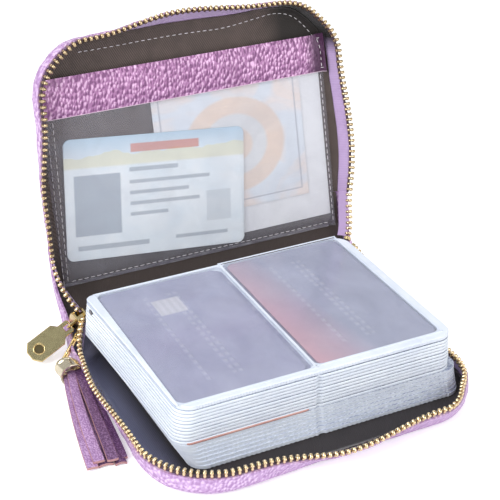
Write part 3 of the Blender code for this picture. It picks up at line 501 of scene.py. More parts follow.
def grid(rows, ring=False, offset=0, flip=False):
    """Quads between rows of equal length."""
    across = len(rows[0])
    faces = []
    for i in range(len(rows) - 1):
        for j in range(across if ring else across - 1):
            k = (j + 1) % across
            a = offset + i * across
            b = a + across
            face = (a + j, a + k, b + k, b + j)
            faces.append(face[::-1] if flip else face)
    return faces


def shell(name, outer, inner, finish, uv=None):
    """A closed sheet between two grids of points."""
    high, across = len(outer), len(outer[0])
    start = high * across
    faces = grid(outer) + grid(inner, offset=start, flip=True)
    rim = [(0, j) for j in range(across)] + [(i, across - 1) for i in range(1, high)]
    rim += [(high - 1, j) for j in range(across - 2, -1, -1)] + [(i, 0) for i in range(high - 2, 0, -1)]
    for (a, b), (c, d) in zip(rim, rim[1:] + rim[:1]):
        first, second = a * across + b, c * across + d
        faces.append((second, first, start + first, start + second))
    return make(name, flat(outer) + flat(inner), faces, finish, uv and uv + uv)


def filled(rings):
    """Faces of a row of rings that is filled at both ends."""
    count, total = len(rings[0]), len(rings) * len(rings[0])
    return grid(rings, ring=True) + [tuple(range(count))[::-1], tuple(range(total - count, total))]


def loft(name, rings, finishes, uv=None, picks=None, angle=45):
    return make(name, flat(rings), filled(rings), finishes, uv, picks, angle)


def ring_of(centre, side, other, count):
    """Points round a centre; side and other carry the radius each way."""
    turns = (2 * math.pi * i / count for i in range(count))
    return [centre + side * math.cos(a) + other * math.sin(a) for a in turns]


def wire_loop(middle, along, across, straight, half_width, radius, around, section):
    """Rings round a wire that closes on itself: a racetrack, or a circle if straight is 0."""
    normal, line, rows = along.cross(across), [], []
    for i in range(around):
        a = 2 * math.pi * i / around
        end = straight if math.cos(a) > 0 else -straight
        line.append(middle + along * (end + half_width * math.cos(a)) + across * half_width * math.sin(a))
    for i, spot in enumerate(line):
        side = (line[(i + 1) % around] - line[i - 1]).normalized().cross(normal)
        rows.append(ring_of(spot, side * radius, normal * radius, section))
    return rows


def wires(name, loops, finish):
    """Wire loops as one piece."""
    points, faces = [], []
    for rows in loops:
        first, count = len(points), len(rows) * len(rows[0])
        points += flat(rows)
        closed = grid(rows + [rows[0]], ring=True)
        faces += [tuple(first + i % count for i in face) for face in closed]
    return make(name, points, faces, finish)


def circle(centre, axis, radius, wire):
    side = axis.orthogonal().normalized()
    return wire_loop(centre, side, axis.cross(side).normalized(), 0.0, radius, wire, 40, 10)


def bezier(start, a, b, end, share):
    rest = 1 - share
    return start * rest**3 + 3 * a * share * rest**2 + 3 * b * share**2 * rest + end * share**3


def many(name, places, finish, shape, angle=50):
    """Copies of one shape as one piece; a place is an origin and three axes."""
    shape_points, shape_faces = np.array(shape[0]), shape[1]
    points, faces = [], []
    for number, (spot, x, y, z) in enumerate(places):
        points.append(shape_points @ np.array([x, y, z]) + np.array(spot))
        shift = number * len(shape_points)
        faces += [tuple(i + shift for i in face) for face in shape_faces]
    return make(name, np.concatenate(points), faces, finish, angle=angle)


# The two halves of the cover


class Outline:
    """The root line of a cover half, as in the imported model, and the wall that rises from it."""

    def __init__(self, away, angles, pulls, place):
        self.away, self.place = away, place
        self.angles = [math.radians(angle) for angle in angles]
        self.pulls = [pull / 1000 for pull in pulls]
        self.side = depth - corner
        self.turn = corner * math.pi / 2
        self.front = width - 2 * corner
        self.length = 2 * self.side + 2 * self.turn + self.front
        corner_marks = (self.side, self.side + self.turn / 2, self.side + self.turn)
        first = (0.0, self.side / 2) + corner_marks + (self.length / 2,)
        self.marks = first + tuple(self.length - mark for mark in reversed(first[:-1]))

    def eased(self, t, values):
        """A value at t, eased between those at the marks."""
        pairs = zip(zip(self.marks, self.marks[1:]), zip(values, values[1:]))
        for (a, b), (low, high) in pairs:
            if t <= b:
                return low + (high - low) * (1 - math.cos(math.pi * (t - a) / (b - a))) / 2
        return values[-1]

    def root(self, t):
        """The root at t and its outward direction, as (x, v) with v away from the crease."""
        pull = self.eased(t, self.pulls)
        mirror = -1.0 if t > self.length / 2 else 1.0
        t = min(t, self.length - t)
        if t <= self.side:
            spot, out = (-width / 2, t), (-1.0, 0.0)
        elif t <= self.side + self.turn:
            a = (t - self.side) / corner
            out = (-math.cos(a), math.sin(a))
            spot = (-width / 2 + corner * (1 + out[0]), self.side + corner * out[1])
        else:
            spot, out = (-self.front / 2 + (t - self.side - self.turn), depth), (0.0, 1.0)
        return (mirror * (spot[0] - out[0] * pull), spot[1] - out[1] * pull), (mirror * out[0], out[1])

    def point(self, t, along, deep):
        """A point of the wall, by its distance along it from the root and by its depth."""
        (x, v), (out_x, out_v) = self.root(t)
        angle = self.eased(t, self.angles)
        bend, straight = min(along / bend_radius, angle), max(along - bend_radius * angle, 0.0)
        radius = bend_radius - deep
        out = radius * math.sin(bend) + straight * math.cos(angle)
        up = bend_radius - radius * math.cos(bend) + straight * math.sin(angle)
        return self.place @ Vector((x + out_x * out, self.away * (v + out_v * out), up))

    def stations(self, step=0.0021):
        return list(np.linspace(end_run, self.length - end_run, int((self.length - 2 * end_run) / step)))

    def end(self, which):
        return end_run if which == 0 else self.length - end_run


base = Outline(-1, base_angles, base_pulls, base_frame)
lid = Outline(1, lid_angles, lid_pulls, lid_frame)
halves = {"base": base, "lid": lid}


def level(value):
    """The same height at every place."""
    return lambda place: value


def lid_lining_wall(t):
    """The lid's lining climbs less along the top, where the zip's tape shows."""
    top = ease((t - 0.118) / 0.05) * (1 - ease((t - 0.185) / 0.027))
    return lining_walls["lid"] - 0.0036 * top


def wall_steps(bend, high, low):
    """Distances along the wall, closer together in its bend."""
    if low:
        return [low + (high - low) * i / 6 for i in range(7)]
    if high < bend:
        return [high * i / 10 for i in range(11)]
    return [bend * i / 6 for i in range(7)] + [bend + (high - bend) * i / 4 for i in (1, 2, 3, 4)]


def half_shell(name, outline, layer, wall, finish, low=0.0):
    """A cover half's layer: wall and panel as one closed body, or a ribbon if low is given."""
    spots = outline.stations()
    steps = [wall_steps(bend_radius * outline.eased(t, outline.angles), wall(t), low) for t in spots]
    wavy = [0.00018 * math.sin(t * 410) + 0.00012 * math.sin(t * 970 + 1) for t in spots]
    sheets = [
        [
            [outline.point(t, s, deep - wave * min(s / 0.008, 1) ** 2) for s in row]
            for t, row, wave in zip(spots, steps, wavy)
        ]
        for deep in layer
    ]
    if low:
        return shell(name, *sheets, finish, [(t, s) for t, row in zip(spots, steps) for s in row])
    high, across = len(spots), len(steps[0])
    start = high * across
    faces = grid(sheets[0]) + grid(sheets[1], offset=start, flip=True)
    panel = [i * across for i in range(high)]
    faces += [tuple(panel[::-1]), tuple(start + i for i in panel)]
    for a, b in zip(panel[1:], panel[2:] + [start]):
        faces.append((b - 1, a - 1, start + a - 1, start + b - 1))
    for first, sign in ((0, 1), (start - across, -1)):
        for a in range(first, first + across - 1):
            faces.append((a, start + a, start + a + 1, a + 1)[::sign])
    faces.append((0, start - across, 2 * start - across, start))
    return make(name, flat(sheets[0]) + flat(sheets[1]), faces, finish)


full, ribbon, tray = level(leather_wall), level(tape_high), level(lining_walls["base"])
for body, name, layer, wall, finish, slot, node in (
    ("base", "cover_back", leather_layer, full, hide, "lilac_leather", "back_cover"),
    ("lid", "cover_front", leather_layer, full, hide, "lilac_leather", "front_cover"),
    ("base", "tray_lining_skin", lining_layer, tray, tray_cloth, "lining", "back_lining"),
    ("lid", "lid_lining_skin", lining_layer, lid_lining_wall, cloth, "lining", "front_lining"),
    ("base", "tape_lower", tape_layer, ribbon, tape_cloth, "zip_tape", "lower_zip_tape"),
    ("lid", "tape_upper", tape_layer, ribbon, tape_cloth, "zip_tape", "upper_zip_tape"),
):
    low = tape_lows[body] if layer is tape_layer else 0.0
    settle(half_shell(name, halves[body], layer, wall, finish, low), body, slot, node)


# The slider's frame, to which the ends of the rows of teeth run

slider_centre = Vector((-0.0636, 0.0602, 0.0137))
hinge = Vector((0.379, -0.678, -0.628)).normalized()
out_way = Vector((-1, 0, 0))
out_way = (out_way - hinge * out_way.dot(hinge)).normalized()
travel = out_way.cross(hinge)
mouth = slider_centre + travel * 0.0055
half_mouth = 0.0016
right_x = width / 2 + askew / 2 + 0.0035
right_half_gap, right_rise = 0.0034, 0.0098
meets = {}
for half, side in (("base", -1), ("lid", 1)):
    meets[(half, 0)] = mouth - hinge * half_mouth * side
    meets[(half, 1)] = spine_frame @ Vector((right_x, spine_width / 2 + right_half_gap * side, right_rise))


def row_end(half, end, along, deep, share):
    """A point on the free end of a row, whose place across the chain is as on the rim."""
    outline = halves[half]
    t = outline.end(end)
    inward = 0.002 if end == 0 else -0.002
    start = outline.point(t, chain_along, chain_depth)
    heading = (start - outline.point(t + inward, chain_along, chain_depth)).normalized()
    meet = meets[(half, end)]
    span = (meet - start).length
    arrive = ((meet - start).normalized() + Vector((0.3 if end == 0 else -0.3, 0, 0))).normalized()
    curve = (start, start + heading * span * 0.35, meet - arrive * span * 0.3, meet)
    ahead = (bezier(*curve, min(share + 0.01, 1)) - bezier(*curve, max(share - 0.01, 0))).normalized()
    across = (outline.point(t, tooth_end, 0) - outline.point(t, tooth_start, 0)).normalized()
    down = outline.point(t, chain_along, 0.002) - outline.point(t, chain_along, 0)
    reach = (across - ahead * across.dot(ahead)).normalized()
    sunk = ahead.cross(reach)
    if sunk.dot(down) < 0:
        sunk = -sunk
    spot = bezier(*curve, share) + reach * (along - chain_along) + sunk * (deep - chain_depth)
    return spot, ahead, reach


# Where the cover crosses the two creases

fold_length = 2 * end_run + spine_width


def path_station(run):
    """The left and the right root across the creases, by the run in metres."""
    shift = 0.0
    if run <= end_run:
        place, y = base_frame, run - end_run
    elif run <= end_run + spine_width:
        place, y = spine_frame, run - end_run
        shift = askew * y / spine_width
    else:
        place, y = lid_frame, run - end_run - spine_width
    return [place @ Vector((side * width / 2 + shift, y, 0)) for side in (-1, 1)]


def smooth_up(run):
    first = ease((run - end_run + 0.006) / 0.012)
    second = ease((run - end_run - spine_width + 0.006) / 0.012)
    return (up_base.lerp(up_spine, first)).lerp(up_lid, second).normalized()


def gusset_edge(end, share):
    """The gusset's free edge: from the base's rim, past the slider or the right-hand end, to the lid's."""
    first = base.point(base.end(end), leather_wall, 0)
    last = lid.point(lid.end(end), leather_wall, 0)
    if end == 0:
        middle = slider_centre - travel * 0.0035 + Vector((-0.0042, 0, 0))
    else:
        middle = spine_frame @ Vector((right_x + 0.0012, spine_width / 2, 0.0082))
    lead = Vector((0, 0.020 if end == 0 else 0.018, 0))
    rise = lid_frame.to_3x3() @ Vector((0, -0.020, 0))
    way = (last - first) * 0.22
    if share < 0.5:
        return bezier(first, first + lead, middle - way, middle, share * 2)
    return bezier(middle, middle + way, last + rise, last, share * 2 - 1)


def wall_section(end, run, deep, reach, count=9):
    """Points of the gusset from its root to its edge, at one place along the fold."""
    root, up = path_station(run)[end], smooth_up(run)
    out = Vector((-1 if end == 0 else 1, 0, 0))
    edge = gusset_edge(end, run / fold_length)
    knee = root + out * bend_radius * 1.1 + up * 0.0004
    chord = (edge - knee).normalized()
    square = (out - chord * out.dot(chord)).normalized()
    start, bend = root + up * deep, knee - square * deep + up * deep * 0.6
    halfway = root.lerp(knee, 0.75) + up * deep
    outline, weight = base, 0.0
    if run < end_run:
        weight = ease(1 - run / (end_run * 0.8))
    elif run > end_run + spine_width:
        outline, weight = lid, ease(1 - (fold_length - run) / (end_run * 0.8))
    t = outline.end(end)
    offset = root - outline.point(t, 0, 0)
    points = []
    for i in range(count):
        u = reach * i / (count - 1)
        free = bezier(start, halfway, bend, edge - square * deep, u)
        points.append(free.lerp(outline.point(t, leather_wall * u, deep) + offset, weight))
    return points


def lining_reach(run):
    """The lining's share of the gusset's height, from the tray's to the lid's."""
    low, high = lining_walls["base"] / leather_wall, lining_walls["lid"] / leather_wall
    return low + (high - low) * ease(run / fold_length)


def fold_rows(deep, reach, low, high, panels=14):
    rows = []
    for run in np.linspace(low, high, max(int((high - low) / 0.0016), 4) + 1):
        run = float(run)
        left, right = path_station(run)
        row = wall_section(0, run, deep, reach(run))[::-1]
        row += [left.lerp(right, i / panels) + smooth_up(run) * deep for i in range(1, panels)]
        rows.append(row + wall_section(1, run, deep, reach(run)))
    return rows


def fold(word, low, high, body, lining_cloth):
    """The leather and the lining over one stretch of the fold."""
    for name, layer, reach, finish, slot, node in (
        ("cover_fold_", leather_layer, level(1.0), hide, "lilac_leather", "spine_cover"),
        ("lining_fold_", lining_layer, lining_reach, lining_cloth, "lining", "spine_lining"),
    ):
        outer, inner = (fold_rows(deep, reach, low, high) for deep in layer)
        settle(shell(name + word, outer, inner, finish), body, slot, *([node] if word == "middle" else []))


first_split, second_split = end_run + 0.012, end_run + spine_width - 0.012
low_blend = ("base", "spine", base_frame @ Vector((0, -0.013, 0)), spine_frame @ Vector((0, 0.011, 0)))
high_ends = (spine_frame @ Vector((0, spine_width - 0.011, 0)), lid_frame @ Vector((0, 0.013, 0)))
fold("low", 0.0, first_split, low_blend, tray_cloth)
fold("middle", first_split, second_split, "spine", cloth)
fold("high", second_split, fold_length, ("spine", "lid", *high_ends), cloth)


# Teeth


def tooth_shape():
    """One tooth in its own frame: x along the chain, y up the wall, z into it."""
    sections = (
        (-0.00150, 0.00052, 0.00080), (-0.00125, 0.00064, 0.00100), (-0.00040, 0.00066, 0.00102),
        (-0.00005, 0.00048, 0.00086), (0.00030, 0.00068, 0.00102), (0.00085, 0.00076, 0.00110),
        (0.00125, 0.00056, 0.00088), (0.00142, 0.00024, 0.00046),
    )
    around = [(math.cos(2 * math.pi * i / 12), math.sin(2 * math.pi * i / 12)) for i in range(12)]
    squarer = [[math.copysign(abs(way) ** 0.6, way) for way in pair] for pair in around]
    rings = [[(half_x * c, y, half_z * s) for c, s in squarer] for y, half_x, half_z in sections]
    return flat(rings), filled(rings)


tooth = tooth_shape()


def evenly(spots, line):
    """Values of spots at the middles of equal tooth pitches along a line of points."""
    run = np.concatenate([[0.0], np.cumsum(np.linalg.norm(np.diff(np.array(line), axis=0), axis=1))])
    count = max(int(run[-1] / tooth_pitch), 1)
    return [float(spot) for spot in np.interp((np.arange(count) + 0.5) * run[-1] / count, run, spots)]


def rim_places(outline):
    spots = np.linspace(end_run, outline.length - end_run, 1400)
    places = []
    for t in evenly(spots, [outline.point(float(t), chain_along, chain_depth) for t in spots]):
        spot = outline.point(t, chain_along, chain_depth)
        ahead = (outline.point(t + 0.0005, chain_along, chain_depth) - spot).normalized()
        reach = outline.point(t, tooth_end, chain_depth) - outline.point(t, tooth_start, chain_depth)
        reach = reach.normalized()
        reach = (reach - ahead * reach.dot(ahead)).normalized()
        places.append((spot, ahead, reach, ahead.cross(reach)))
    return places


def end_places(half, end):
    shares = np.linspace(0, 1, 201)
    places = []
    for share in evenly(shares, [row_end(half, end, chain_along, chain_depth, s)[0] for s in shares]):
        spot, ahead, reach = row_end(half, end, chain_along, chain_depth, share)
        places.append((spot, ahead, reach, ahead.cross(reach)))
    return places


def tape_bead(name, outline, radius=0.0006, count=180):
    """The round edge of the tape, on which the teeth are clamped, coloured near black as painted shade
    between the teeth.
    """
    rings = []
    for i in range(count + 1):
        t = end_run + (outline.length - 2 * end_run) * i / count
        spot = outline.point(t, tooth_start + 0.0002, chain_depth)
        reach = (outline.point(t, tooth_end, chain_depth) - spot).normalized()
        below = outline.point(t, tooth_start, chain_depth + 0.001)
        sunk = (below - outline.point(t, tooth_start, chain_depth)).normalized()
        rings.append(ring_of(spot, reach * radius, sunk * radius, 8))
    return loft(name, rings, bead_painted_shade)


def zip_end(half, end, word, low=0.0076):
    """The free stretch of a row: its teeth and its strip of tape, from its half towards the spine."""
    start = row_end(half, end, chain_along, chain_depth, 0.0)[0]
    stop = row_end(half, end, chain_along, chain_depth, 1.0)[0]
    body = ("base", "spine", start, stop) if half == "base" else ("spine", "lid", stop, start)
    node = word.replace("_", "_zip_end_")
    settle(many("teeth_end_" + word, end_places(half, end), tooth_gold, tooth), body, "gold_metal", node)
    steps, shares = np.linspace(low, tape_high, 6), np.linspace(0, 1, 21)
    outer, inner = (
        [[row_end(half, end, a, deep, s)[0] for a in steps] for s in shares] for deep in tape_layer
    )
    uv = [(s * 0.03, a) for s in shares for a in steps]
    settle(shell("tape_end_" + word, outer, inner, tape_cloth, uv), body, "zip_tape")


settle(many("teeth_lower", rim_places(base), tooth_gold, tooth), "base", "gold_metal", "lower_zip_teeth")
# The lid's teeth take the darker copy of the gold as painted shade.
settle(many("teeth_upper", rim_places(lid), tooth_painted_shade, tooth), "lid", "gold_metal", "upper_zip_teeth")
settle(tape_bead("tape_bead_lower", base), "base", "zip_tape")
settle(tape_bead("tape_bead_upper", lid), "lid", "zip_tape")
for half, end, word in (
    ("base", 0, "lower_left"), ("lid", 0, "upper_left"),
    ("base", 1, "lower_right"), ("lid", 1, "upper_right"),
):
    zip_end(half, end, word)


# Stitches: a line is a function from the run to a point and the surface's normal, and its length

seat = lining_layer[1]


def stitch_shape(length, radius):
    rings = []
    for i in range(7):
        share = i / 6
        arch = math.sin(math.pi * share)
        size = radius * (0.45 + 0.55 * arch ** 0.5 if arch > 0 else 0.3)
        centre = Vector(((share - 0.5) * length, 0, radius * 0.5 * arch))
        rings.append(ring_of(centre, Vector((0, size, 0)), Vector((0, 0, size)), 8))
    return flat(rings), filled(rings)


def stitches(name, line, body, slot, finish, stitch, gap, radius):
    place_of, length = line
    count = int(length / (stitch + gap))
    places = []
    for i in range(count):
        run = (i + 0.5) * length / count
        spot, up = place_of(run)
        ahead = (place_of(run + 0.0004)[0] - place_of(run - 0.0004)[0]).normalized()
        up = (up - ahead * up.dot(ahead)).normalized()
        places.append((spot, ahead, up.cross(ahead), up))
    settle(many(name, places, finish, stitch_shape(stitch, radius)), body, slot)


def panel_line(outline, inset, low, high, up_way):
    """A line on a half's panel, at an even or changing distance from its root."""
    def at(s):
        (x, v), (out_x, out_v) = outline.root(low + s)
        inward = inset(low + s)
        spot = Vector((x - out_x * inward, outline.away * (v - out_v * inward), seat + 0.00005))
        return outline.place @ spot, up_way
    return at, high - low


def wall_line(outline, along, low, high):
    def at(s):
        spot = outline.point(low + s, along, seat)
        return spot, (outline.point(low + s, along, seat + 0.001) - spot).normalized()
    return at, high - low


def lid_line(a, b, up):
    """A straight line on the lid's inside, from (x, v) to (x, v)."""
    start, end = (lid_frame @ Vector((*spot, up)) for spot in (a, b))
    run = (end - start).normalized()
    return (lambda s: (start + run * s, up_lid)), (end - start).length


def lining_inset(t):
    return 0.0018 + 0.0020 * ease((t - 0.119) / 0.045) - 0.0038 * ease((t - 0.180) / 0.035)


stitches("lining_stitches_upper", panel_line(lid, lining_inset, 0.117, 0.246, up_lid),
         "lid", "lining", white_thread, 0.0017, 0.0012, 0.00017)
stitches("lining_stitches_lower", wall_line(base, 0.0080, 0.030, base.length - 0.030),
         "base", "lining", dark_thread, 0.0018, 0.0010, 0.00018)


# The lid's pocket: film, hem, band and contents

window = ((-0.0668, 0.0712), (0.0004, 0.0750))
window_thick = 0.0002
band = ((-0.0662, 0.0745), (0.0750, 0.0921))
band_foot = 0.00175


def lid_surface(x, v, lift):
    """A point above the lid's lining, which past the panel's right end climbs the wall."""
    t = lid.length - v
    root_x = lid.root(t)[0][0]
    if x <= root_x:
        return lid_frame @ Vector((x, v, seat + lift))
    return lid.point(t, (x - root_x) * 1.25, seat + lift)


def lid_sheet(name, area, across, along, lift, foot, finish):
    """A sheet over an area of the lid between two heights, each by the share across and along."""
    (x_low, x_high), (v_low, v_high) = area
    sheets = [
        [
            [
                lid_surface(
                    x_low + (x_high - x_low) * i / across, v_low + (v_high - v_low) * j / along,
                    height(i / across, j / along),
                )
                for i in range(across + 1)
            ]
            for j in range(along + 1)
        ]
        for height in (lift, foot)
    ]
    return shell(name, *sheets, finish)


def film_lift(i, j):
    rim = ease(min(i * 70, (1 - i) * 40, j * 22))
    wave = 0.00010 * math.sin(i * 17 + j * 5) + 0.00008 * math.sin(j * 23 - i * 7)
    return 0.0003 + (0.0017 + wave) * rim


def band_lift(i, j):
    edge = ease(min(i * 30, (1 - i) * 30, j * 7, (1 - j) * 7))
    puff = 0.0005 * math.sin(math.pi * j) + 0.00015 * math.sin(i * 21 + j * 3)
    return 0.0019 + (0.0004 + puff * 0.8) * edge


def low_hem(left=-0.0668, right=0.0660, v=0.0012, half=0.0007, low=0.0024, high=0.0028):
    """A flat strip with rounded edges along the window's foot."""
    soft = high - 0.0001
    section = ((-1, low), (1, low), (1, soft), (0.9, high), (-0.9, high), (-1, soft))
    rings = []
    for i in range(45):
        x = left + (right - left) * i / 44
        rings.append([lid_frame @ Vector((x, v + half * across, up)) for across, up in section])
    return loft("window_hem_low", rings, hem)


def band_raw_edge(lift=0.0019, half_width=0.00016, half_height=0.0003):
    """The cut edge along the band's foot."""
    (low, high), (v, _) = band
    places = [low + (high - low) * i / 90 for i in range(91)]
    line = [lid_surface(x, v - 0.0001, lift) for x in places]
    rings = []
    for i, (x, spot) in enumerate(zip(places, line)):
        up = (lid_surface(x, v - 0.0001, lift + 0.0003) - spot).normalized()
        ahead = (line[min(i + 1, 90)] - line[max(i - 1, 0)]).normalized()
        side = ahead.cross(up).normalized()
        rings.append(ring_of(spot, side * half_width, up * half_height, 6))
    return loft("band_raw_edge", rings, pale_edge)


def band_line(a, b):
    """A line on the band, from (x, v) to (x, v)."""
    length = math.hypot(b[0] - a[0], b[1] - a[1])

    def at(s):
        x, v = (start + (end - start) * s / length for start, end in zip(a, b))
        up = (lid_surface(x, v, 0.0020) - lid_surface(x, v, 0.0010)).normalized()
        return lid_surface(x, v, 0.0026), up
    return at, length


def arc(cx, cy, radius, start, steps=8):
    """A quarter turn of points, each with its outward direction."""
    turns = [math.radians(start + 90 * i / steps) for i in range(steps + 1)]
    ways = [(math.cos(a), math.sin(a)) for a in turns]
    return [((cx + radius * nx, cy + radius * ny), (nx, ny)) for nx, ny in ways]


def plate_outline(wide, tall, radius, steps=8):
    """A rounded rectangle's points, each with its outward direction."""
    right, back = wide - radius, tall - radius
    centres = ((right, back, 0), (radius, back, 90), (radius, radius, 180), (right, radius, 270))
    return flat(arc(cx, cy, radius, start, steps) for cx, cy, start in centres)


def card(name, matrix, wide, tall, thick, radius, finish, bevel=0.00012):
    """A thin plate with rounded corners and softened edges, with UV from 0 to 1 over its face."""
    rings, uv = [], []
    for z, inset in ((0, bevel), (bevel, 0), (thick - bevel, 0), (thick, bevel)):
        outline = [(x - nx * inset, y - ny * inset) for (x, y), (nx, ny) in plate_outline(wide, tall, radius)]
        rings.append([matrix @ Vector((x, y, z)) for x, y in outline])
        uv += [(x / wide, y / tall) for x, y in outline]
    return loft(name, rings, finish, uv)


def on_lid(x, v, up, tilt=0.0):
    return lid_frame @ Matrix.Translation((x, v, up)) @ Matrix.Rotation(math.radians(tilt), 4, "Z")


def film_foot(i, j):
    return film_lift(i, j) - window_thick


settle(lid_sheet("window_film", window, 72, 40, film_lift, film_foot, smoke),
       "lid", "clear_window", "clear_window")
settle(low_hem(), "lid", "clear_window")
for word, a, b, up in (
    ("left_outer", (-0.0668, 0.0010), (-0.0640, 0.0740), 0.0027),
    ("left_inner", (-0.0652, 0.0030), (-0.0618, 0.0740), 0.0043),
    ("right_inner", (0.0679, 0.0030), (0.0679, 0.0740), 0.0044),
    ("low", (-0.0640, 0.0030), (0.0655, 0.0030), 0.0043),
):
    stitches("window_stitches_" + word, lid_line(a, b, up), "lid", "clear_window", white_thread,
             0.0021, 0.0008, 0.00014)
settle(lid_sheet("pocket_band_skin", band, 96, 18, band_lift, lambda i, j: band_foot, band_hide),
       "lid", "lilac_leather", "pocket_band")
settle(band_raw_edge(), "lid", "lilac_leather")
for word, a, b in (
    ("low", (0.0708, 0.0768), (0.0740, 0.0768)),
    ("high", (0.0708, 0.0903), (0.0738, 0.0903)),
    ("inner", (0.0708, 0.0768), (0.0708, 0.0903)),
):
    stitches("band_stitches_" + word, band_line(a, b), "lid", "lilac_leather", white_thread,
             0.0017, 0.0006, 0.00016)

# The standard plastic card.
card_wide, card_tall, card_thick, card_round = 0.05398, 0.0856, 0.00076, 0.00318
sheet_bevel = 0.00003

item = card("printed_card_face", on_lid(-0.0640, 0.0117, 0.0032, -5.9), card_tall, card_wide, 0.0006,
            card_round, printed_card())
settle(item, "id_card", "printed_card", "id_card")
item = card("note_sheet", on_lid(-0.0163, 0.0188, 0.0028), 0.0735, 0.0645, 0.00015, 0.0004, printed_note(),
            sheet_bevel)
settle(item, "folded_note", "printed_paper", "folded_note")
item = card("paper_sheet", on_lid(0.0088, 0.0066, 0.00245), 0.059, 0.072, 0.0001, 0.0003, plain_paper(),
            sheet_bevel)
settle(item, "folded_paper", "paper", "folded_paper")


# The book of sleeves

left_x, front_y = -0.0588, -0.03695
column_gap = 0.0054
right_card_x, right_card_back = left_x + card_wide + column_gap, 0.001
book_left, book_right = left_x - 0.0037, right_card_x + card_wide + 0.0059
book_front, book_back = front_y - 0.004, front_y + card_tall + 0.0018
seam = left_x + card_wide + column_gap / 2
leaf_corner, leaf_back_corner = 0.007, 0.003
leaf_first, leaf_pitch = 0.0025, 0.0015
top_low, top_high, well_floor = 0.028, 0.030, 0.02842
# Each sleeve shows more than its card: a dark tinted sheet below fills the rest towards the middle, as
# painted shade inside the sleeve.
sleeves = (
    ("left", left_x, front_y, 0.0022),
    ("right", right_card_x - 0.0016, front_y + right_card_back, 0.0016),
)


def book_outline(shift, ribs, period, phase, notch, inset, flare, right_inset):
    """A leaf's outline with a ribbed front edge and a notch at its seam, with outward directions.

    The left edge is inset, and flares out towards the binding.
    """
    low_x, high_x = book_left + shift[0] + inset, book_right + shift[0] - right_inset
    low_y, high_y = book_front + shift[1], book_back + shift[1]

    def left(y):
        return low_x - flare * max(0.0, (y - low_y) / (high_y - low_y)) ** 1.5

    spots = arc(high_x - leaf_corner, high_y - leaf_corner, leaf_corner, 0)
    back = high_y - leaf_back_corner
    spots += arc(left(high_y) + leaf_back_corner, back, leaf_back_corner, 90)
    for i in range(1, 12):
        y = back + (low_y + leaf_corner - back) * i / 12
        spots.append(((left(y), y), (-1.0, 0.0)))
    spots += arc(low_x + leaf_corner, low_y + leaf_corner, leaf_corner, 180)
    run = high_x - low_x - 2 * leaf_corner
    count = int(run / period * 4)
    for i in range(1, count):
        x = low_x + leaf_corner + run * i / count
        y = low_y + ribs * (0.5 - 0.5 * math.cos(2 * math.pi * (x - phase) / period))
        y += notch * max(0.0, 1 - abs(x - seam) / 0.0013) ** 0.7
        spots.append(((x, y), (0.0, -1.0)))
    return spots + arc(high_x - leaf_corner, low_y + leaf_corner, leaf_corner, 270)


def stacked(spots, profile):
    """Rings at the profile's heights, each drawn in by its inset."""
    return [
        [Vector((x - nx * inset, y - ny * inset, z)) for (x, y), (nx, ny) in spots] for z, inset in profile
    ]


def leaf(number, body, thick, spots, finish, closed):
    """One sleeve of the book: closed ones touch, open ones show a groove between their edges, coloured dark
    as painted shade.
    """
    if closed:
        profile = [(0.0, 0.00004), (0.00004, 0.0), (thick - 0.00004, 0.0), (thick, 0.00004)]
    else:
        profile = [(0.0, 0.0006), (0.0, 0.0002), (0.00015, 0.00005), (0.0004, 0.0), (thick - 0.0004, 0.0)]
        profile += [(thick - 0.00015, 0.00005), (thick, 0.0002), (thick, 0.0006)]
    bottom = leaf_first + number * leaf_pitch
    rings = stacked(spots, [(bottom + z, inset) for z, inset in profile])
    picks = []
    for i in range(len(profile) - 1):
        picks += [0 if closed or 0 < i < len(profile) - 2 else 1] * len(spots)
    item = loft(f"sleeve_{number + 1:02d}", rings, [finish, groove], picks=picks + [1, 1], angle=35)
    settle(item, body, "sleeve_film", f"leaf_{number + 1:02d}")


def lower_leaf(number, wobble):
    """The lower bundle is pressed together: it is ribbed, and slopes in at its left and forward below."""
    slope = 1 - number / 6
    shift = (0.0022 + wobble[0] * 0.3, -0.0004 - 0.0030 * slope ** 1.5 + wobble[1] * 0.3)
    spots = book_outline(
        shift, 0.00032, 0.0021, 0.0, 0.0007, -0.0016 + 0.0050 * slope, 0.0016 - 0.0016 * slope, -0.0006
    )
    leaf(number, "lower_leaves", 0.00149, spots, sleeve_low, True)


def upper_leaf(number, wobble, body):
    share = (number / 17) ** 2
    phase = 0.00045 * (number % 2)
    spots = book_outline(wobble, 0.00012, 0.0009, phase, 0.0007, 0.0018 * share, 0.0030, 0.0009 * share)
    leaf(number, body, 0.00128, spots, sleeve_high, False)


dice = random.Random(7)
for number in range(17):
    wobble = (dice.uniform(-0.0001, 0.0001), dice.uniform(-0.0001, 0.00015))
    if number < 7:
        lower_leaf(number, wobble)
    else:
        upper_leaf(number, wobble, "middle_leaves" if number < 12 else "upper_leaves")


def flat_plate(name, spots, low, high, finish, bevel=0.0, shift=(0, 0)):
    spots = [((x + shift[0], y + shift[1]), way) for (x, y), way in spots]
    profile = ((low, bevel), (low + bevel, 0), (high - bevel, 0), (high, bevel))
    return loft(name, stacked(spots, profile), finish, angle=35)


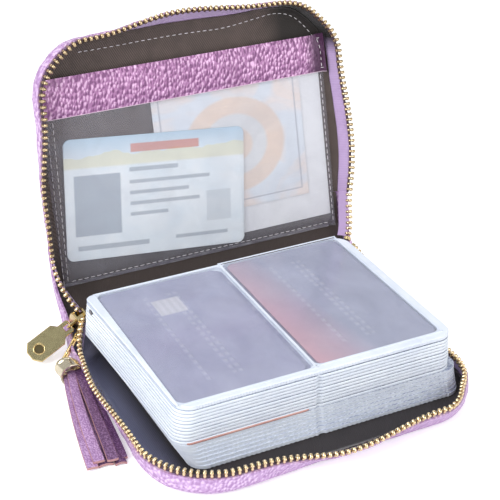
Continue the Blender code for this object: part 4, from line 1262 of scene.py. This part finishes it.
def sleeve_frame():
    """The top leaf's frame: a well for each card, and a slit in each outer edge to slide it out by."""
    spots = book_outline((0, 0), 0.0002, 0.0012, 0.0, 0.0, 0.0018, 0.0030, 0.0009)
    rim = flat_plate("top_sleeve_rim", spots, top_low, top_high, frost, 0.0004)
    play = 0.0006
    cutters = []
    for word, x, y, spare in sleeves:
        well = plate_outline(card_wide + spare + 2 * play, card_tall + 2 * play, 0.0034)
        cutters.append(flat_plate("cut_" + word, well, well_floor, 0.035, frost, shift=(x - play, y - play)))
    for word, x, y, spare in sleeves:
        slit_x = x - 0.008 if word == "left" else x + spare + card_wide - 0.002
        slit = plate_outline(0.010, card_tall + 0.0004, 0.0002, 2)
        cutters.append(flat_plate("slit_" + word, slit, 0.02858, 0.02942, frost, shift=(slit_x, y)))
    for cutter in cutters:
        step = rim.modifiers.new(cutter.name, "BOOLEAN")
        step.operation, step.object, step.solver = "DIFFERENCE", cutter, "EXACT"
    bpy.context.view_layer.update()
    cut = bpy.data.meshes.new_from_object(rim.evaluated_get(bpy.context.evaluated_depsgraph_get()))
    rim.modifiers.clear()
    rim.data = cut
    cut.shade_smooth()
    cut.set_sharp_from_angle(angle=math.radians(35))
    for cutter in cutters:
        bpy.data.objects.remove(cutter, do_unlink=True)
    return rim


def sleeve_film(word, x, y, wide, tall, overlap=0.0012):
    """The clear film over a card, with a slight swell."""
    rows = []
    for j in range(37):
        row = []
        for i in range(25):
            u, v = i / 24, j / 36
            rim = ease(min(u, 1 - u, v * 1.6, (1 - v) * 1.6) * 12)
            swell = rim * (0.00010 + 0.00008 * math.sin(u * 9 + v * 13) * math.cos(v * 7))
            row.append(Vector((x - overlap + wide * u, y - overlap + tall * v, top_high + 0.00002 + swell)))
        rows.append(row)
    under = [[p - Vector((0, 0, 0.00016)) for p in row] for row in rows]
    return shell("top_film_" + word, rows, under, clear)


def weld(name, a, b):
    """A raised line pressed into the sleeve's top, from (x, y) to (x, y)."""
    start, end = Vector((*a, top_high - 0.00005)), Vector((*b, top_high - 0.00005))
    way = (end - start).normalized()
    side, rise = Vector((-way.y, way.x, 0)) * 0.00032, Vector((0, 0, 0.00026))
    rings = []
    for i in range(41):
        middle = start.lerp(end, i / 40)
        rings.append([middle - side, middle + side, middle + side * 0.6 + rise, middle - side * 0.6 + rise])
    return loft(name, rings, frost)


settle(sleeve_frame(), "top_leaf", "sleeve_film", "leaf_18")
# Under each card, a dark tinted sheet wider than the card as painted shade inside the sleeve.
for word, x, y, spare in sleeves:
    painted_tint = plate_outline(card_wide + spare, card_tall, 0.0032)
    item = flat_plate("sleeve_painted_shade_" + word, painted_tint, well_floor + 0.00001, 0.02858, inside, shift=(x, y))
    settle(item, "top_leaf", "sleeve_film")
for word, x, y, spare in sleeves:
    wide, tall = card_wide + spare + 0.0024, card_tall + 0.0024
    settle(sleeve_film(word, x, y, wide, tall), "top_leaf", "sleeve_film")
    left, right, near, far = x - 0.0014, x + wide - 0.0010, y - 0.0014, y + card_tall + 0.0014
    for edge, a, b in (
        ("front", (left, near), (right, near)),
        ("back", (left, far), (right, far)),
        ("near", (left + 0.0004, near), (left + 0.0004, far)),
        ("far", (right - 0.0004, near), (right - 0.0004, far)),
    ):
        settle(weld(f"weld_{word}_{edge}", a, b), "top_leaf", "sleeve_film")

left_face = plastic_card("grey_card_left", (0.26, 0.27, 0.42), (0.36, 0.37, 0.53), chip=True)
right_face = plastic_card("grey_card_right", (0.24, 0.26, 0.38), (0.34, 0.36, 0.50), blush=(0.62, 0.30, 0.36))
red_face = plastic_card("red_card_face", (0.46, 0.20, 0.17), (0.58, 0.30, 0.25))
for name, x, y, bottom, thick, finish, slot in (
    ("left_card", left_x, front_y, 0.02862, card_thick, left_face, "grey_card"),
    ("right_card", right_card_x, front_y + right_card_back, 0.02862, card_thick, right_face, "grey_card"),
    ("red_card", left_x, front_y - 0.0044, 0.0131, 0.0008, red_face, "red_card"),
):
    place = Matrix.Translation((x, y, bottom))
    settle(card(name + "_face", place, card_wide, card_tall, thick, card_round, finish), name, slot, name)


def binding_hole():
    """A punched hole near the binding, through the sleeves' left margin, drawn as a dark plug of painted
    shade.
    """
    place = Matrix.Translation((book_left - 0.0011, book_back - 0.0070, 0.0262))
    place = place @ Matrix.Rotation(math.radians(-90), 4, "Y")
    rings = []
    for z in (-0.0008, 0.0004):
        ring = ring_of(Vector((0, 0, z)), Vector((0.0011, 0, 0)), Vector((0, 0.0016, 0)), 20)
        rings.append([place @ spot for spot in ring])
    return loft("binding_hole", rings, hole_shade)


settle(binding_hole(), "upper_leaves", "sleeve_film")


# The tassel's strips

tassel_top = Vector((-0.0772, 0.0438, 0.0054))
heading = Vector((-0.105, -0.992, -0.05)).normalized()
flat_way = Vector((0, 0, 1)).cross(heading).normalized()
tassel_frame = Matrix.Translation(tassel_top) @ axes(flat_way, heading.cross(flat_way), heading)
strip_start, strip_length, strip_half_thick = 0.0086, 0.0612, 0.00052
strip_up = tassel_frame.to_3x3().inverted() @ Vector((0, 0, 1))
tip_height = 0.00095 - (tassel_frame @ Vector((0, 0, strip_start + strip_length))).z
# Across the width and through the thickness; the raw edge is where the second list says 1.
strip_section = (
    (-1, -0.6), (-0.94, -1), (-0.5, -1), (0, -1), (0.5, -1), (0.94, -1), (1, -0.6),
    (1, 0.6), (0.94, 1), (0.5, 1), (0, 1), (-0.5, 1), (-0.94, 1), (-1, 0.6),
)
strip_edges = (1, 0, 0, 0, 0, 1, 1, 1, 0, 0, 0, 0, 1, 1)


def strip(name, root, tip, lift, root_lift, part, phase, wide_root, wide_tip, face):
    """A strip that fans from its root to its tip and bends down to the ground."""
    rings = []
    for i in range(49):
        share = i / 48
        spread = 1 - (1 - share) ** 2
        x = root + (tip - root) * spread + 0.0003 * math.sin(share * 5 + phase) * share
        height = root_lift + (tip_height + lift - root_lift) * ease(share)
        height += 0.0003 * (1 + math.sin(share * 9 + phase)) * share * (1 - share) * 4
        middle = Vector((x, 0, strip_start + strip_length * share * part)) + strip_up * height
        half = (wide_root + (wide_tip - wide_root) * spread) / 2
        curl = (0.0005 * math.sin(phase + share * 3) - 0.0002) * (0.4 + 0.6 * share)
        rings.append([
            tassel_frame @ (
                middle + Vector((half * across, 0, 0))
                + strip_up * (strip_half_thick * side + curl * across * across)
            )
            for across, side in strip_section
        ])
    return loft(name, rings, [face, copper_edge], picks=list(strip_edges) * 48 + [1, 1], angle=40)


# Root, tip, lift, root's lift, share of the length, phase, width at the root and at the tip.
strip_layout = (
    (-0.0002, -0.0046, 0.0004, -0.0009, 0.98, 0.0, 0.0036, 0.0044),
    (0.0030, 0.0006, 0.0000, -0.0011, 0.965, 1.3, 0.0034, 0.0060),
    (0.0054, 0.0060, 0.0000, -0.0011, 0.98, 2.1, 0.0026, 0.0046),
    (0.0014, -0.0022, 0.0014, 0.0006, 0.955, 3.7, 0.0034, 0.0044),
    (0.0044, 0.0034, 0.0015, 0.0006, 0.97, 5.2, 0.0032, 0.0044),
    (0.0062, 0.0080, -0.0002, -0.0003, 0.94, 4.1, 0.0018, 0.0026),
)
# The two leftmost strips take the painted-light copy of the strip leather, the rest the painted-shade copy.
for number, row in enumerate(strip_layout, 1):
    item = strip(f"strip_{number}", *row, strip_painted_light if number in (1, 4) else strip_painted_shade)
    settle(item, "tassel", "lilac_leather", *([f"tassel_strip_{number}"] if number < 6 else []))


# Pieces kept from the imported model


def dress(name, finish):
    nodes[name].data.materials.clear()
    nodes[name].data.materials.append(finish)


def soften(name, wide=0.00018):
    """A metal piece with softened edges."""
    dress(name, bright)
    weld_step = nodes[name].modifiers.new("weld", "WELD")
    weld_step.merge_threshold = 0.00001
    bevel = nodes[name].modifiers.new("bevel", "BEVEL")
    bevel.width, bevel.segments = wide, 2
    bevel.limit_method, bevel.angle_limit = "ANGLE", math.radians(35)
    bevel.harden_normals = True


soften("slider_body", 0.00015)
for name in ("bottom_stop", "top_stop_lower", "top_stop_upper"):
    soften(name)
for name in ("back_board", "front_board"):
    dress(name, stiffener)
for name in ("binding_lower", "binding_middle", "binding_upper"):
    dress(name, sleeve_low)


# The pull tab

tab_along = Matrix.Rotation(math.radians(9.6), 4, hinge) @ out_way
tab_face = tab_along.cross(hinge)
if tab_face.z < 0:
    tab_face = -tab_face
tab_place = Matrix.Translation(slider_centre + out_way * 0.0046)
tab_place = tab_place @ axes(tab_along, tab_face.cross(tab_along), tab_face)
tab_reach, tab_half_thick = 0.0220, 0.0008
hole_x, hole_radius = tab_reach - 0.0050, 0.0019


def tab_edge(inset):
    """The plate's outline, drawn in: a narrow neck with a square eye, shoulders and cut corners."""
    half, neck, cut = 0.0051 - inset, 0.0029 - inset, 0.0026
    near, far = 0.0001 + inset, tab_reach - inset
    side = [
        (near, neck - 0.0006), (near + 0.0006, neck), (0.0050, neck), (0.0071, half), (far - cut, half),
        (far - 0.0008, half - cut + 0.0006), (far, half - cut - 0.0006),
    ]
    return side + [(x, -y) for x, y in reversed(side)]


def square_eye(inset):
    low, high, half = 0.0007 - inset, 0.0035 + inset, 0.0011 + inset
    return [(low, half), (high, half), (high, -half), (low, -half)]


def round_hole(inset):
    radius = hole_radius + inset
    ring = ring_of(Vector((hole_x, 0)), Vector((radius, 0)), Vector((0, radius)), 32)
    return [tuple(spot) for spot in ring]


def inside_loop(spot, loop):
    odd = False
    for a, b in zip(loop, loop[1:] + loop[:1]):
        if (a.y > spot.y) != (b.y > spot.y) and spot.x < a.x + (spot.y - a.y) / (b.y - a.y) * (b.x - a.x):
            odd = not odd
    return odd


def cut_plate(name, shapes, half_thick, bevel, finishes):
    """A plate with bevelled edges; the first shape is its outline, and the others are openings."""
    edge_z = half_thick - bevel
    levels = ((-half_thick, bevel), (-edge_z, 0.0), (edge_z, 0.0), (half_thick, bevel))
    points, faces, picks = [], [], []
    loops = {0: [], 3: []}
    for number, shape in enumerate(shapes):
        count, start = len(shape(0.0)), len(points)
        points += [Vector((x, y, z)) for z, inset in levels for x, y in shape(inset)]
        for i in range(3):
            for j in range(count):
                a, b = start + i * count + j, start + i * count + (j + 1) % count
                faces.append((a, b, b + count, a + count)[::1 if number else -1])
                picks.append(1)
        for level_number, found in loops.items():
            found.append([start + level_number * count + j for j in range(count)])
    for level_number, found in loops.items():
        index = flat(found)
        spots = [points[i].xy for i in index]
        edges, shift = [], 0
        for loop in found:
            edges += [(shift + i, shift + (i + 1) % len(loop)) for i in range(len(loop))]
            shift += len(loop)
        rims = [[points[i].xy for i in loop] for loop in found]
        for face in delaunay_2d_cdt(spots, edges, [], 0, 1e-7)[2]:
            centre = sum((spots[i] for i in face), Vector((0, 0))) / 3
            if [inside_loop(centre, rim) for rim in rims] == [True] + [False] * (len(rims) - 1):
                faces.append(tuple(index[i] for i in face)[::1 if level_number else -1])
                picks.append(0)
    return make(name, [tab_place @ p for p in points], faces, finishes, picks=picks, angle=20)


plate = cut_plate(
    "tab_plate", (tab_edge, square_eye, round_hole), tab_half_thick, 0.00025, [plate_gold, bright]
)
settle(plate, "pull_tab", "gold_metal", "pull_tab")
# A dark plug in the tab's round hole: painted shade.
rings = [[tab_place @ Vector((x, y, z)) for x, y in round_hole(0.0001)] for z in (-0.0004, 0.00005)]
settle(loft("tab_eye", rings, eye_shade), "pull_tab", "gold_metal")
for name, side in (("tab_rim_lower", -1), ("tab_rim_upper", 1)):
    centre = tab_place @ Vector((hole_x, 0, tab_half_thick * side))
    settle(wires(name, [circle(centre, tab_face, 0.00235, 0.0003)], bright), "pull_tab", "gold_metal")


# The tassel's cap and its link

# Distance from the cap's top, and radius: a dome with a groove, a straight skirt and a rolled mouth.
cap_profile = (
    (0.0000, 0.0011), (0.0001, 0.0019), (0.0005, 0.0029), (0.0011, 0.0037), (0.0019, 0.0043),
    (0.0027, 0.0045), (0.0030, 0.0045), (0.0032, 0.0042), (0.0035, 0.0042), (0.0037, 0.0046),
    (0.0045, 0.0047), (0.0074, 0.0047), (0.0079, 0.0048), (0.0083, 0.0049), (0.0086, 0.0048),
    (0.0086, 0.0043), (0.0070, 0.0041), (0.0030, 0.0036), (0.0012, 0.0020), (0.0010, 0.0006),
)


def tassel_cap(start=0.0016, wider=1.12, longer=1.1, sideways=0.0020):
    """The turned cap, which stands over the strips' roots."""
    rings = []
    for reach, radius in cap_profile:
        centre = Vector((sideways * ease(reach / 0.006), 0, start + reach * longer))
        ring = ring_of(centre, Vector((wider * radius, 0, 0)), Vector((0, wider * radius, 0)), 40)
        rings.append([tassel_frame @ spot for spot in ring])
    return loft("cap_shell", rings, cap_gold, angle=60)


def link_chain(links=3, half_width=0.0007, radius=0.0006):
    """Short wire links, each turned square to the next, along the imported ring's middle line."""
    low, high = (Vector(spot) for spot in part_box("tassel_ring"))
    middle = (low + high) / 2
    along = (tassel_top - middle).normalized()
    face = (out_way - along * out_way.dot(along)).normalized()
    pitch = (2 * ((tassel_top - middle).length + 0.0003) - 2 * radius) / links
    loops = []
    for i in range(links):
        spot = middle + along * (pitch * (i - (links - 1) / 2))
        across = along.cross(face) if i % 2 else face
        straight = pitch / 2 + radius - half_width
        loops.append(wire_loop(spot, along, across, straight, half_width, radius, 28, 8))
    return wires("link_wire", loops, bright)


settle(tassel_cap(), "tassel", "gold_metal", "tassel_cap")
eye_spot, eye_way = tassel_frame @ Vector((0, 0, 0.0004)), tassel_frame.to_3x3() @ Vector((0, 1, 0))
cap_eye = circle(eye_spot, eye_way, 0.0016, 0.00036)
settle(wires("cap_loop", [cap_eye], bright), "tassel", "gold_metal")
settle(link_chain(), "tassel_ring", "gold_metal", "tassel_ring")


# Floor, light and camera


def floor_sheet(half=3, glow=0.42):
    """Pale paper that a camera sees a little brighter than the lamps leave it."""
    mesh = bpy.data.meshes.new("floor")
    corners = [(-half, -half, 0), (half, -half, 0), (half, half, 0), (-half, half, 0)]
    mesh.from_pydata(corners, [], [(0, 1, 2, 3)])
    f = Finish("floor_paper", (0.93, 0.93, 0.93), 0.9, Emission_Color=(1, 1, 1, 1))
    rays = f.node("LightPath").outputs
    seen = f.calc("MAXIMUM", rays["Is Camera Ray"], rays["Is Transmission Ray"])
    f.wire(f.calc("MULTIPLY", seen, glow), "Emission Strength")
    mesh.materials.append(f.done(f.over((0.93, 0.93, 0.93), (0.95, 0.95, 0.95), f.noise(f.place(), 40.0))))
    item = bpy.data.objects.new("floor", mesh)
    item.location.z = -0.0002
    scene.collection.objects.link(item)
    return item


def studio_world(lit=0.55, seen=1.0):
    """A white surround, at full strength only for what the camera sees of it."""
    world = bpy.data.worlds.new("studio")
    world.use_nodes = True
    tree = world.node_tree
    sky = tree.nodes["Background"]
    sky.inputs["Color"].default_value = (1, 1, 1, 1)
    rays = tree.nodes.new("ShaderNodeLightPath")
    either = tree.nodes.new("ShaderNodeMath")
    either.operation = "MAXIMUM"
    tree.links.new(rays.outputs["Is Camera Ray"], either.inputs[0])
    tree.links.new(rays.outputs["Is Transmission Ray"], either.inputs[1])
    strength = tree.nodes.new("ShaderNodeMapRange")
    strength.inputs[3].default_value = lit
    strength.inputs[4].default_value = seen
    tree.links.new(either.outputs[0], strength.inputs[0])
    tree.links.new(strength.outputs[0], sky.inputs["Strength"])
    return world


def lamp(name, spot, aim, size, power):
    data = bpy.data.lights.new(name, "AREA")
    data.size, data.energy = size, power
    item = bpy.data.objects.new(name, data)
    item.location = spot
    item.rotation_euler = (Vector(aim) - Vector(spot)).to_track_quat("-Z", "Y").to_euler()
    scene.collection.objects.link(item)


def photo_camera(spot, lens, down, towards_right, roll):
    """The camera that was fitted to the photograph; its turns are in degrees."""
    data = bpy.data.cameras.new("camera")
    data.lens, data.sensor_width, data.clip_start = lens, 36.0, 0.01
    item = bpy.data.objects.new("camera", data)
    turn = Matrix.Rotation(math.radians(-towards_right), 4, "Z") @ tilted(90 - down)
    turn = turn @ Matrix.Rotation(math.radians(roll), 4, "Z")
    item.matrix_world = Matrix.Translation(spot) @ turn
    scene.collection.objects.link(item)
    return item


floor = floor_sheet()
scene.world = studio_world()
lamp("key", (-0.85, -0.25, 0.65), (0, 0, 0.03), 0.5, 8.0)
lamp("fill", (0.5, -0.9, 0.5), (0, 0, 0.03), 0.6, 4.5)
lamp("top", (0.1, 0.35, 1.1), (0, 0.02, 0.03), 0.8, 3.5)
scene.camera = photo_camera((-0.2157, -0.41245, 0.3187), 97.1, 28.9, 26.3, 0.2)
scene.view_settings.view_transform = "Standard"
